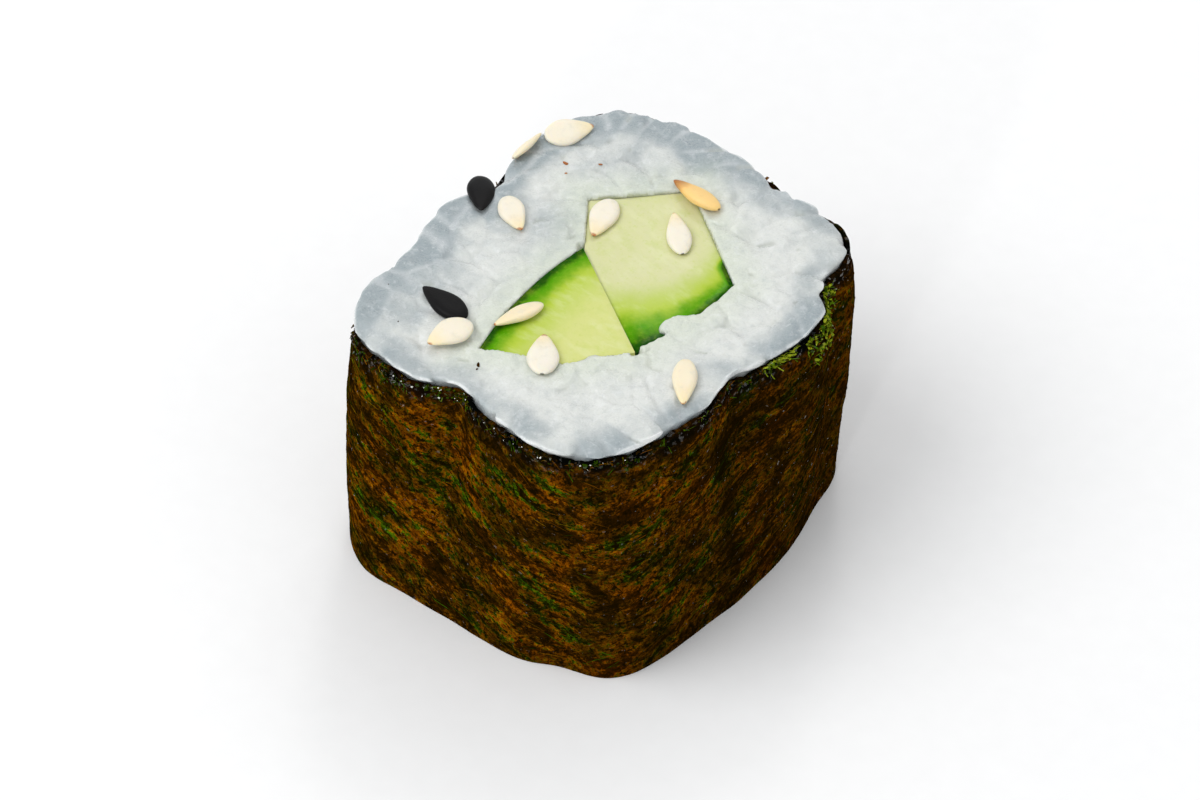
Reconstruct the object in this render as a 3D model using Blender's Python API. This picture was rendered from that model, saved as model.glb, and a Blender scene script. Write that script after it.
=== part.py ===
"""Cucumber maki roll: one slice of a thin roll, standing on one of its two cut faces.

A sheet of nori goes once round a body of pressed rice and laps over itself on the far side. Two
cucumber batons lie next to each other in the rice and run from cut face to cut face.

Lengths are metres. +Z points up through the cut faces, Y is the longer way across, and the origin is
the middle of the base.
"""

import math

import bmesh
import bpy
from mathutils import Vector

MM = 0.001

# The roll across its cut face. The outline is a superellipse, and a higher power is a squarer one.
HEIGHT = 20.0 * MM
RICE_HALF_X = 11.9 * MM
RICE_HALF_Y = 13.9 * MM
SQUARENESS = 4.4
CLEARANCE = 0.3 * MM
BARREL = 0.30 * MM

# Hollows pressed into the outline, and swells where the depth is below zero: the angle from +X and the
# half-width in degrees, and the depth at the upper cut face and at the base in millimetres.
DENTS = (
    (-150, 12, 1.75, 0.15),
    (-132, 7, 0.65, -0.10),
    (-116, 8, 0.10, -0.55),
    (-91, 6, 1.60, 0.10),
    (-76, 13, 0.90, 0.25),
    (-57, 9, 0.30, 1.25),
    (-42, 13, 0.42, -0.10),
    (-20, 7, -0.35, 0.00),
    (-5, 8, 0.70, -0.10),
    (22, 11, -0.70, 0.10),
    (42, 6, 1.50, 0.25),
    (40, 16, 0.00, 1.25),
    (60, 8, -0.45, 0.00),
    (74, 6, 0.60, 0.00),
    (143, 7, 0.60, 0.00),
    (170, 13, 1.45, 0.10),
)

# The rice: lobes of grains round the rim, a rounded edge and a gently uneven cut face.
RICE_SEGMENTS = 92
RICE_LOBES = 23
LOBE_DEPTH = 0.30 * MM
LOBE_REACH = 2.2 * MM
RICE_EDGE = 0.55 * MM
SIDE_LEVELS = (0.22, 0.42, 0.62, 0.78)
RICE_BASE_EDGE = 0.30 * MM
RELIEF = 0.14 * MM
RELIEF_WAVES = ((4.6 * MM, 0.3), (5.7 * MM, 1.9), (3.9 * MM, 4.1))
FACE_RINGS = (0.965, 0.91, 0.80, 0.65, 0.46, 0.25)

# The nori sheet: its wall, how far its rim lies below the rice, how far it stops short of the base,
# and its lap.
NORI_WALL = 0.35 * MM
NORI_RIM_DROP = 0.55 * MM
NORI_RIM_WAVE = 0.18 * MM
NORI_RIM_WAVES = (7, 11)
NORI_BASE = 0.05 * MM
NORI_ROWS = 8
NORI_STEPS = 104
LAP_START = math.radians(78)
LAP_ANGLE = math.radians(38)
LAP_RAMP = math.radians(14)
LAP_GAP = 0.15 * MM

# The cucumber batons: the corners across, anticlockwise, and which side is the skin side.
BATON_TOP_DROP = 0.35 * MM
BATON_EDGE = 0.20 * MM
SKIN_STEPS = 8
CUTTER_SPARE = 2.0 * MM
BATONS = {
    "cucumber_left": {
        "corners": ((-2.8, 1.5), (-1.5, -9.6), (3.4, -7.0), (5.7, -3.2)),
        "skin_side": 0,
        "skin_bulge": 0.60 * MM,
    },
    "cucumber_right": {
        "corners": ((-2.45, 1.65), (5.85, -2.95), (6.4, 5.3), (-1.2, 10.1), (-5.6, 5.1)),
        "skin_side": 1,
        "skin_bulge": 0.45 * MM,
    },
}

FINISHES = {
    "nori": ((0.020, 0.018, 0.004, 1.0), 0.55),
    "rice": ((0.72, 0.74, 0.72, 1.0), 0.40),
    "cucumber": ((0.62, 0.72, 0.24, 1.0), 0.30),
}


def clear_scene():
    """Remove whatever objects the file starts with."""
    for thing in list(bpy.data.objects):
        bpy.data.objects.remove(thing, do_unlink=True)


def make_material(name):
    """Make a plain material in one of the food's own colours."""
    colour, roughness = FINISHES[name]
    material = bpy.data.materials.new(name)
    material.use_nodes = True
    shader = material.node_tree.nodes["Principled BSDF"]
    shader.inputs["Base Color"].default_value = colour
    shader.inputs["Roughness"].default_value = roughness
    shader.inputs["Metallic"].default_value = 0.0
    return material


def smooth_step(value):
    """Ease from 0 to 1 as the value goes from 0 to 1."""
    value = min(max(value, 0.0), 1.0)
    return value * value * (3.0 - 2.0 * value)


def dent_depth(angle, z):
    """How far the outline is pressed in at an angle round the roll and a height."""
    rise = smooth_step(z / HEIGHT)
    total = 0.0
    for centre, half_width, upper, base in DENTS:
        away = math.remainder(angle - math.radians(centre), 2 * math.pi) / math.radians(half_width)
        total += (base + (upper - base) * rise) * math.exp(-(away**2)) * MM
    return total


def outline_radius(angle, z, growth=0.0):
    """Distance from the axis to the outline, with the half-sizes grown."""
    along_x = abs(math.cos(angle)) / (RICE_HALF_X + growth)
    along_y = abs(math.sin(angle)) / (RICE_HALF_Y + growth)
    round_square = (along_x**SQUARENESS + along_y**SQUARENESS) ** (-1.0 / SQUARENESS)
    return round_square - dent_depth(angle, z)


def barrel_growth(z):
    """How much wider the roll is at a height than at its cut faces."""
    return BARREL * math.sin(math.pi * min(max(z / HEIGHT, 0.0), 1.0))


def face_relief(x, y):
    """Unevenness of the cut rice: crossed waves about as long as a grain, never above zero."""
    total = 0.0
    for length, turn in RELIEF_WAVES:
        across = x * math.cos(turn) + y * math.sin(turn)
        total += math.sin(2 * math.pi * across / length + turn)
    return RELIEF * (total / len(RELIEF_WAVES) - 1.0)


def link_mesh(name, shape, material=None):
    """Turn a bmesh into a linked object."""
    mesh = bpy.data.meshes.new(name)
    shape.to_mesh(mesh)
    shape.free()
    body = bpy.data.objects.new(name, mesh)
    bpy.context.collection.objects.link(body)
    if material:
        mesh.materials.append(material)
    return body


def shade_smooth(body, sharp_angle):
    """Shade round surfaces smooth and keep edges sharper than an angle."""
    body.data.shade_smooth()
    body.data.set_sharp_from_angle(angle=sharp_angle)


def join_rings(shape, rings):
    """Bridge each ring of corners to the next one with quads."""
    for lower, upper in zip(rings, rings[1:]):
        count = len(lower)
        for step in range(count):
            following = (step + 1) % count
            shape.faces.new((lower[step], lower[following], upper[following], upper[step]))


def rice_ring(shape, z, inset):
    """Add one ring of the rice's side, lobed near the upper rim."""
    lobe_share = smooth_step((z - (HEIGHT - LOBE_REACH)) / LOBE_REACH)
    ring = []
    for step in range(RICE_SEGMENTS):
        angle = 2 * math.pi * step / RICE_SEGMENTS
        radius = outline_radius(angle, z, barrel_growth(z)) - inset
        radius -= lobe_share * LOBE_DEPTH * (1.0 - abs(math.sin(angle * RICE_LOBES / 2.0)))
        ring.append(shape.verts.new((radius * math.cos(angle), radius * math.sin(angle), z)))
    return ring


def rice_face_ring(shape, share):
    """Add one ring of the rice's cut face, at a share of the way out to the rim."""
    ring = []
    for step in range(RICE_SEGMENTS):
        angle = 2 * math.pi * step / RICE_SEGMENTS
        radius = share * outline_radius(angle, HEIGHT)
        x = radius * math.cos(angle)
        y = radius * math.sin(angle)
        ring.append(shape.verts.new((x, y, HEIGHT + face_relief(x, y))))
    return ring


def build_rice(material):
    """Pressed rice: a body with rounded rims, a flat base and an uneven upper cut face."""
    shape = bmesh.new()
    side = [
        rice_ring(shape, 0.0, RICE_BASE_EDGE),
        rice_ring(shape, RICE_BASE_EDGE, 0.0),
        *[rice_ring(shape, HEIGHT * level, 0.0) for level in SIDE_LEVELS],
        rice_ring(shape, HEIGHT - LOBE_REACH, 0.0),
        rice_ring(shape, HEIGHT - 2.0 * RICE_EDGE, 0.0),
        rice_ring(shape, HEIGHT - RICE_EDGE, 0.25 * RICE_EDGE),
    ]
    face = [rice_face_ring(shape, share) for share in FACE_RINGS]
    join_rings(shape, side + face)
    middle = shape.verts.new((0.0, 0.0, HEIGHT + face_relief(0.0, 0.0)))
    inner = face[-1]
    for step in range(RICE_SEGMENTS):
        shape.faces.new((inner[step], inner[(step + 1) % RICE_SEGMENTS], middle))
    shape.faces.new(list(reversed(side[0])))
    rice = link_mesh("rice", shape, material)
    for name in BATONS:
        channel = rice.modifiers.new(f"channel for {name}", "BOOLEAN")
        channel.operation = "DIFFERENCE"
        channel.solver = "EXACT"
        channel.object = build_cutter(name)
    shade_smooth(rice, math.radians(50))
    return rice


def lap_lift(turn):
    """How far the sheet is lifted, to pass over its own start, at a turn from that start."""
    share = (turn - (2 * math.pi - LAP_RAMP)) / (0.8 * LAP_RAMP)
    return (NORI_WALL + LAP_GAP) * smooth_step(share)


def nori_point(turn, row):
    """A point of the sheet's inner face: how far round it is, and its row from bottom to top."""
    angle = LAP_START + turn
    rim_wave = sum(math.sin(count * angle + count) for count in NORI_RIM_WAVES)
    rim = HEIGHT - NORI_RIM_DROP + NORI_RIM_WAVE * rim_wave / len(NORI_RIM_WAVES)
    z = NORI_BASE + (rim - NORI_BASE) * row / (NORI_ROWS - 1)
    growth = CLEARANCE + barrel_growth(z) + lap_lift(turn)
    radius = outline_radius(angle, z, growth)
    return Vector((radius * math.cos(angle), radius * math.sin(angle), z))


def build_nori(material):
    """The sheet: one strip wound once round the rice, with its end lying over its start."""
    shape = bmesh.new()
    columns = []
    for step in range(NORI_STEPS + 1):
        turn = (2 * math.pi + LAP_ANGLE) * step / NORI_STEPS
        columns.append([shape.verts.new(nori_point(turn, row)) for row in range(NORI_ROWS)])
    for here, there in zip(columns, columns[1:]):
        for row in range(NORI_ROWS - 1):
            shape.faces.new((here[row], there[row], there[row + 1], here[row + 1]))
    nori = link_mesh("nori", shape, material)
    wall = nori.modifiers.new("sheet thickness", "SOLIDIFY")
    wall.thickness = NORI_WALL
    wall.offset = 1.0
    shade_smooth(nori, math.radians(50))
    return nori


def baton_outline(name, clearance=0.0):
    """A baton's outline, anticlockwise, with its skin side bowed and all sides moved outwards."""
    baton = BATONS[name]
    corners = [Vector(corner) * MM for corner in baton["corners"]]
    bowed = []
    for index, corner in enumerate(corners):
        following = corners[(index + 1) % len(corners)]
        bowed.append(corner)
        if index == baton["skin_side"]:
            along = following - corner
            outward = Vector((along.y, -along.x)).normalized()
            for step in range(1, SKIN_STEPS):
                share = step / SKIN_STEPS
                bow = 4.0 * share * (1.0 - share) * baton["skin_bulge"]
                bowed.append(corner + share * along + bow * outward)
    return [moved_corner(bowed, index, clearance) for index in range(len(bowed))]


def moved_corner(outline, index, distance):
    """A corner of an anticlockwise outline once both its sides have moved outwards."""
    corner = outline[index]
    arriving = (corner - outline[index - 1]).normalized()
    leaving = (outline[(index + 1) % len(outline)] - corner).normalized()
    normal_in = Vector((arriving.y, -arriving.x))
    normal_out = Vector((leaving.y, -leaving.x))
    middle = normal_in + normal_out
    return corner + middle * (distance / (0.5 * middle.length_squared))


def extrude_outline(outline, bottom, top):
    """A closed prism over a flat outline."""
    shape = bmesh.new()
    base = shape.faces.new([shape.verts.new((point.x, point.y, bottom)) for point in outline])
    base.normal_flip()
    raised = bmesh.ops.extrude_face_region(shape, geom=[base])
    lifted = [item for item in raised["geom"] if isinstance(item, bmesh.types.BMVert)]
    bmesh.ops.translate(shape, verts=lifted, vec=(0.0, 0.0, top - bottom))
    bmesh.ops.recalc_face_normals(shape, faces=shape.faces)
    return shape


def build_baton(name, material):
    """One cucumber baton, from cut face to cut face, with its cut edges just eased."""
    shape = extrude_outline(baton_outline(name), 0.0, HEIGHT - BATON_TOP_DROP)
    baton = link_mesh(name, shape, material)
    easing = baton.modifiers.new("eased edges", "BEVEL")
    easing.width = BATON_EDGE
    easing.segments = 2
    easing.limit_method = "ANGLE"
    easing.angle_limit = math.radians(40)
    shade_smooth(baton, math.radians(35))
    return baton


def build_cutter(name):
    """The channel that a baton lies in, cut right through the rice."""
    outline = baton_outline(name, CLEARANCE)
    cutter = link_mesh(f"channel_{name}", extrude_outline(outline, -CUTTER_SPARE, HEIGHT + CUTTER_SPARE))
    cutter.hide_render = True
    cutter.display_type = "WIRE"
    return cutter


def main():
    """Build the roll, piece by piece, from the outside in."""
    clear_scene()
    build_nori(make_material("nori"))
    build_rice(make_material("rice"))
    cucumber = make_material("cucumber")
    for name in BATONS:
        build_baton(name, cucumber)


main()
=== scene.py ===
"""Looks of one slice of cucumber maki roll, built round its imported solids.

The rice is modelled grain by grain at both cut faces over a smaller core. The nori is a wound sheet
with a torn rim and loose fibres. The cucumber batons show flesh and rind, and sesame seeds lie on the
upper face. Lengths are metres, and MM turns a size in millimetres into metres.
"""

import sys

import logging
import math
import random
from dataclasses import dataclass, field
from enum import Enum
from functools import reduce
from typing import Sequence

import bmesh
import bpy
import numpy as np
from mathutils import Euler, Matrix, Vector, noise
from mathutils.bvhtree import BVHTree


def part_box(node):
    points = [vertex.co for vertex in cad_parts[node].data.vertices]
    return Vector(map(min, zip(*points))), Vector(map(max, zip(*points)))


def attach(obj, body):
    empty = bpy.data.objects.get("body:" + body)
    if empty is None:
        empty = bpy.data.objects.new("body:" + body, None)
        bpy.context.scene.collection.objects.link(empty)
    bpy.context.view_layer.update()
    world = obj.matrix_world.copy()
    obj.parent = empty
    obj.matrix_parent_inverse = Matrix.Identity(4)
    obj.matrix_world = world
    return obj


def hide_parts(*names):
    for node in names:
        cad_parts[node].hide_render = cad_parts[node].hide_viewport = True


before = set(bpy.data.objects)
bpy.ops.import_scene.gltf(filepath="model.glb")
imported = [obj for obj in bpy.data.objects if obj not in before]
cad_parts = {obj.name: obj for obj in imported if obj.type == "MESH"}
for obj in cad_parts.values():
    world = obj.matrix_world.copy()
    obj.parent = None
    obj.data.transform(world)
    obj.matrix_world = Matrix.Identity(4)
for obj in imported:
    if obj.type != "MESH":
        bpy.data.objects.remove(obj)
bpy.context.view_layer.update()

LOG = logging.getLogger("maki")
MM = 0.001
TURN = 2.0 * math.pi
FLAT = np.array((1.0, 1.0, 0.0))
DOWN = Vector((0.0, 0.0, -1.0))


# ---- Small helpers ----

def smooth_step(low: float, high: float, value: np.ndarray | float) -> np.ndarray:
    """Ease from 0 at the low value to 1 at the high one, which may be the smaller."""
    share = np.clip((np.asarray(value, float) - low) / (high - low), 0.0, 1.0)
    return share * share * (3.0 - 2.0 * share)


def soft_min(first: np.ndarray, second: np.ndarray, softness: float) -> np.ndarray:
    """Take the smaller of two arrays with a rounded shoulder where they meet."""
    gap = np.clip((second - first) / softness, -40.0, 40.0)
    return first - softness * np.log1p(np.exp(-gap))


def noise_at(points: np.ndarray, length: float, seed: int) -> np.ndarray:
    """Read smooth noise, from -1 to 1, at rows of positions, for lumps of one size."""
    shift = Vector((13.7 * seed, -7.3 * seed, 5.1 * seed))
    return np.array([noise.noise(Vector(point) / length + shift) for point in points])


def directions(points: np.ndarray) -> np.ndarray:
    """Give the direction from the axis to each point, from +X."""
    return np.arctan2(points[:, 1], points[:, 0])


def distances(points: np.ndarray) -> np.ndarray:
    """Give the distance from the axis to each point."""
    return np.hypot(points[:, 0], points[:, 1])


def around(radius: np.ndarray, angles: np.ndarray, z: np.ndarray) -> np.ndarray:
    """Turn distances from the axis, directions and heights into rows of positions."""
    return np.column_stack([radius * np.cos(angles), radius * np.sin(angles), z])


def on_sheet(along: np.ndarray, z: np.ndarray) -> np.ndarray:
    """Put places along a flat sheet and their heights into rows, to read noise at."""
    return np.column_stack([along, z, np.zeros_like(z)])


def deselect_all() -> None:
    """Leave nothing selected, in object mode."""
    if bpy.context.object and bpy.context.object.mode != "OBJECT":
        bpy.ops.object.mode_set(mode="OBJECT")
    bpy.ops.object.select_all(action="DESELECT")


def make_active(body: bpy.types.Object) -> None:
    """Select one object alone and make it the active one."""
    deselect_all()
    body.select_set(True)
    bpy.context.view_layer.objects.active = body


def read_points(body: bpy.types.Object) -> np.ndarray:
    """Read an object's vertex positions as an array of rows."""
    flat = np.empty(len(body.data.vertices) * 3)
    body.data.vertices.foreach_get("co", flat)
    return flat.reshape(-1, 3)


def write_points(body: bpy.types.Object, points: np.ndarray) -> None:
    """Write an object's vertex positions from an array of rows."""
    body.data.vertices.foreach_set("co", points.ravel())
    body.data.update()


def read_normals(body: bpy.types.Object) -> np.ndarray:
    """Read an object's vertex normals as an array of rows."""
    flat = np.empty(len(body.data.vertices) * 3)
    body.data.vertex_normals.foreach_get("vector", flat)
    return flat.reshape(-1, 3)


def store_values(body: bpy.types.Object, name: str, values: np.ndarray) -> None:
    """Store one number, or three, for each vertex under an attribute's name.

    Args:
        body: The object whose mesh carries them.
        name: The attribute's name, which its material reads.
        values: An array with one number or one row of three for each vertex.
    """
    kind, key = ("FLOAT", "value") if values.ndim == 1 else ("FLOAT_VECTOR", "vector")
    layer = body.data.attributes.new(name, kind, "POINT")
    layer.data.foreach_set(key, np.ascontiguousarray(values, np.float32).ravel())


def apply_modifier(body: bpy.types.Object, kind: str, **settings: object) -> None:
    """Put a modifier on an object and apply it.

    Args:
        body: The object to change.
        kind: The modifier's type.
        **settings: Its properties, by name.
    """
    make_active(body)
    tool = body.modifiers.new(kind.title(), kind)
    for key, value in settings.items():
        setattr(tool, key, value)
    bpy.ops.object.modifier_apply(modifier=tool.name)


def join_pieces(name: str, pieces: Sequence[bpy.types.Object]) -> bpy.types.Object:
    """Join objects into one mesh with its origin at the world's.

    Args:
        name: The joined object's name.
        pieces: The objects, which are used up.

    Returns:
        The joined object.
    """
    deselect_all()
    for piece in pieces:
        piece.select_set(True)
    bpy.context.view_layer.objects.active = pieces[0]
    if len(pieces) > 1:
        bpy.ops.object.join()
    joined = bpy.context.object
    bpy.ops.object.transform_apply(location=True, rotation=True, scale=True)
    joined.name = name
    joined.data.name = name
    return joined


def model_bar(sides: int, rows: int) -> bpy.types.Object:
    """Model an upright bar of radius 1 and height 1, its side divided into rows of faces.

    Args:
        sides: How many sides it has.
        rows: How many rows of faces there are.

    Returns:
        The bar.
    """
    deselect_all()
    bpy.ops.mesh.primitive_cylinder_add(vertices=sides, radius=1.0, depth=1.0)
    bar = bpy.context.object
    bpy.ops.object.mode_set(mode="EDIT")
    work = bmesh.from_edit_mesh(bar.data)
    uprights = [edge for edge in work.edges if abs(edge.verts[0].co.z - edge.verts[1].co.z) > 0.5]
    bmesh.ops.subdivide_edges(work, edges=uprights, cuts=rows - 1)
    bmesh.update_edit_mesh(bar.data)
    bpy.ops.object.mode_set(mode="OBJECT")
    return bar


def model_ball(segments: int, rings: int, radius: float) -> bpy.types.Object:
    """Model a ball with its poles along X.

    Args:
        segments: How many faces it has round it.
        rings: How many rows of faces it has.
        radius: Its radius.

    Returns:
        The ball.
    """
    deselect_all()
    bpy.ops.mesh.primitive_uv_sphere_add(segments=segments, ring_count=rings, radius=radius)
    ball = bpy.context.object
    bpy.ops.object.mode_set(mode="EDIT")
    bpy.ops.transform.rotate(value=math.pi / 2, orient_axis="Y", center_override=(0, 0, 0))
    bpy.ops.object.mode_set(mode="OBJECT")
    return ball


def copy_of(model: bpy.types.Object, place: Matrix) -> bpy.types.Object:
    """Copy a modelled object, with its own mesh, to a place.

    Args:
        model: The object to copy.
        place: Where the copy stands.

    Returns:
        The copy.
    """
    twin = model.copy()
    twin.data = model.data.copy()
    bpy.context.collection.objects.link(twin)
    twin.matrix_world = place
    return twin


def smooth_over(body: bpy.types.Object, degrees: float = 180.0) -> None:
    """Shade an object smooth, but for the edges sharper than an angle.

    Args:
        body: The object.
        degrees: The angle, or 180 where no edge stays sharp.
    """
    make_active(body)
    if degrees < 180.0:
        bpy.ops.object.shade_smooth_by_angle(angle=math.radians(degrees))
    else:
        bpy.ops.object.shade_smooth()


def store_level(body: bpy.types.Object, name: str, value: float) -> None:
    """Store the same number for every vertex under an attribute's name."""
    store_values(body, name, np.full(len(body.data.vertices), value))


def repeat(body: bpy.types.Object, count: int) -> None:
    """Repeat a model's mesh in place, for its points to be written afterwards."""
    apply_modifier(body, "ARRAY", count=count, use_relative_offset=False)


def colour_each(body: bpy.types.Object, each: int, hue: np.ndarray, shade_of: np.ndarray) -> None:
    """Store the hue and the shade of repeated bits, with the same number of vertices in each."""
    store_values(body, "hue", np.repeat(hue.ravel(), each))
    store_values(body, "shade", np.repeat(shade_of.ravel(), each))


def discard(body: bpy.types.Object) -> None:
    """Remove a model that its copies stand for."""
    bpy.data.objects.remove(body, do_unlink=True)


def hand_over(
    piece: bpy.types.Object, slot: str, finish: bpy.types.Material, nodes: Sequence[str] = ()
) -> None:
    """Dress a finished piece and put it on the frame.

    Args:
        piece: The finished object.
        slot: The record's material slot.
        finish: Its material.
        nodes: The frame nodes that the piece stands for.
    """
    piece.data.materials.clear()
    piece.data.materials.append(finish)
    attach(piece, "root")
    if nodes:
        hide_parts(*nodes)
    faces = sum(len(face.vertices) - 2 for face in piece.data.polygons)
    LOG.info("%s: %d triangles, slot %s", piece.name, faces, slot)


# ---- The roll's own measures ----

class CutFace(Enum):
    """The two cut faces of the slice."""

    UPPER = "upper"
    LOWER = "lower"


@dataclass
class RollShape:
    """Outline and heights of the roll, measured on the frame's rice solid.

    Attributes:
        steps: How many directions the outline is measured in.
        levels: The heights it is measured at, as shares of the whole.
        growth: How far the real rice goes past its solid, into the clearance.
        tuck: How far the roll draws in just below its upper cut face.
        tuck_band: How far below that face the tuck begins and is complete.
        rim_drop: How far below it the nori's rim lies, in millimetres.
        rim_waves: The rim's waves: how many there are, and each one's height and shift.
        height: From cut face to cut face.
        radii: The measured outline, one row for each level.
    """

    steps: int = 720
    levels: tuple[float, ...] = (0.03, 0.12, 0.25, 0.4, 0.55, 0.7, 0.8, 0.88)
    growth: float = 0.27 * MM
    tuck: float = 0.28 * MM
    tuck_band: tuple[float, float] = (3.0 * MM, 0.8 * MM)
    rim_drop: float = 0.68
    rim_waves: tuple[tuple[int, float, float], ...] = ((5, 0.10, 0.6), (9, 0.08, 2.0), (17, 0.05, 0.0))
    height: float = 0.0
    radii: np.ndarray = field(default_factory=lambda: np.zeros((0, 0)))

    def __post_init__(self) -> None:
        """Measure the solid by rays from outside towards the axis."""
        self.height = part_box("rice")[1].z
        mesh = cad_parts["rice"].data
        tree = BVHTree.FromPolygons(
            [vertex.co for vertex in mesh.vertices], [list(face.vertices) for face in mesh.polygons]
        )
        self.radii = np.array([self.measure(tree, level * self.height) for level in self.levels])

    def measure(self, tree: BVHTree, z: float) -> np.ndarray:
        """Measure the outline at one height and ease out the solid's facets.

        Args:
            tree: The solid.
            z: The height.

        Returns:
            The distance from the axis in each direction.
        """
        far = 2.0 * self.height
        found = []
        for step in range(self.steps):
            angle = TURN * step / self.steps
            out = Vector((math.cos(angle), math.sin(angle), 0.0))
            found.append(far - tree.ray_cast(far * out + Vector((0.0, 0.0, z)), -out)[3])
        spread = self.steps // 120
        wrapped = np.concatenate([found[-spread:], found, found[:spread]])
        window = np.ones(2 * spread + 1) / (2 * spread + 1)
        return np.convolve(wrapped, window, mode="valid") + self.growth

    def radius(self, angle: np.ndarray | float, z: np.ndarray | float) -> np.ndarray:
        """Give the distance from the axis to the outside of the rice.

        Args:
            angle: Direction round the roll, from +X.
            z: Height.

        Returns:
            The distance, in the shape of the arguments.
        """
        turn = np.mod(np.asarray(angle, float), TURN) / TURN * self.steps
        left = np.floor(turn).astype(int)
        share = turn - left
        level = np.interp(np.asarray(z, float) / self.height, self.levels, range(len(self.levels)))
        low = np.minimum(np.floor(level).astype(int), len(self.levels) - 2)
        rise = level - low
        rows = []
        for row in (low, low + 1):
            first = self.radii[row, left % self.steps]
            second = self.radii[row, (left + 1) % self.steps]
            rows.append(first + share * (second - first))
        begin, full = (self.height - below for below in self.tuck_band)
        drawn_in = self.tuck * smooth_step(begin, full, z)
        return rows[0] + rise * (rows[1] - rows[0]) - drawn_in

    def rim_height(self, angle: np.ndarray | float) -> np.ndarray:
        """Give the height of the nori's upper rim, which dips most at the corner facing -X, -Y.

        Args:
            angle: Direction round the roll, from +X.

        Returns:
            The height, in the shape of the argument.
        """
        turn = np.asarray(angle, float)
        away = np.angle(np.exp(1j * (turn - math.radians(-138))))
        dip = 0.45 * np.exp(-((away / 0.35) ** 2))
        wave = sum(high * np.sin(count * turn + shift) for count, high, shift in self.rim_waves)
        return self.height - (self.rim_drop + dip + wave) * MM


@dataclass(frozen=True)
class BatonShape:
    """Outline of one cucumber baton, the same as its solid's.

    Attributes:
        node: The frame node it stands for.
        corners: Its corners across, in millimetres, anticlockwise.
        rind_side: Which side is the rind, counted from the first corner.
        bulge: How far the rind bows out between its corners.
        drop: How far its upper cut face lies below the rice.
    """

    node: str
    corners: tuple[tuple[float, float], ...]
    rind_side: int
    bulge: float
    drop: float

    def side_points(self, side: int) -> tuple[Vector, Vector]:
        """Give the two ends of a side."""
        ends = (self.corners[side], self.corners[(side + 1) % len(self.corners)])
        return tuple(Vector((x * MM, y * MM, 0.0)) for x, y in ends)

    def side_directions(self, side: int) -> tuple[Vector, Vector]:
        """Give the directions along a side and out of it."""
        start, end = self.side_points(side)
        along = (end - start).normalized()
        return along, Vector((along.y, -along.x, 0.0))

    def rind_circle(self) -> tuple[Vector, float]:
        """Give the circle that the rind lies on.

        Returns:
            Its middle and its radius.
        """
        start, end = self.side_points(self.rind_side)
        half = 0.5 * (end - start).length
        radius = (half * half + self.bulge * self.bulge) / (2.0 * self.bulge)
        outward = self.side_directions(self.rind_side)[1]
        return 0.5 * (start + end) + outward * (self.bulge - radius), radius

    def depth(self, points: np.ndarray) -> np.ndarray:
        """Give how far inside the outline each point lies, negative outside it.

        Args:
            points: Rows of positions, whose heights are not used.

        Returns:
            The depth of each point.
        """
        depths = []
        for side in range(len(self.corners)):
            if side == self.rind_side:
                middle, radius = self.rind_circle()
                depths.append(radius - np.hypot(points[:, 0] - middle.x, points[:, 1] - middle.y))
            else:
                start = self.side_points(side)[0]
                inward = -self.side_directions(side)[1]
                depths.append((points[:, 0] - start.x) * inward.x + (points[:, 1] - start.y) * inward.y)
        return np.min(depths, axis=0)


LEFT_CORNERS = ((-2.8, 1.5), (-1.5, -9.6), (3.4, -7.0), (5.9, -3.3))
RIGHT_CORNERS = ((-2.62, 1.42), (5.84, -3.15), (6.5, 5.4), (-1.2, 10.1), (-5.6, 5.1))
BATONS = (
    BatonShape("cucumber_left", LEFT_CORNERS, rind_side=0, bulge=0.60 * MM, drop=0.12 * MM),
    BatonShape("cucumber_right", RIGHT_CORNERS, rind_side=1, bulge=0.45 * MM, drop=0.34 * MM),
)


# ---- Finishes ----

Colour = tuple[float, float, float]
Pattern = tuple[float, float, float]  # A noise pattern's scale, detail and roughness.
Socket = bpy.types.NodeSocket


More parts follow.
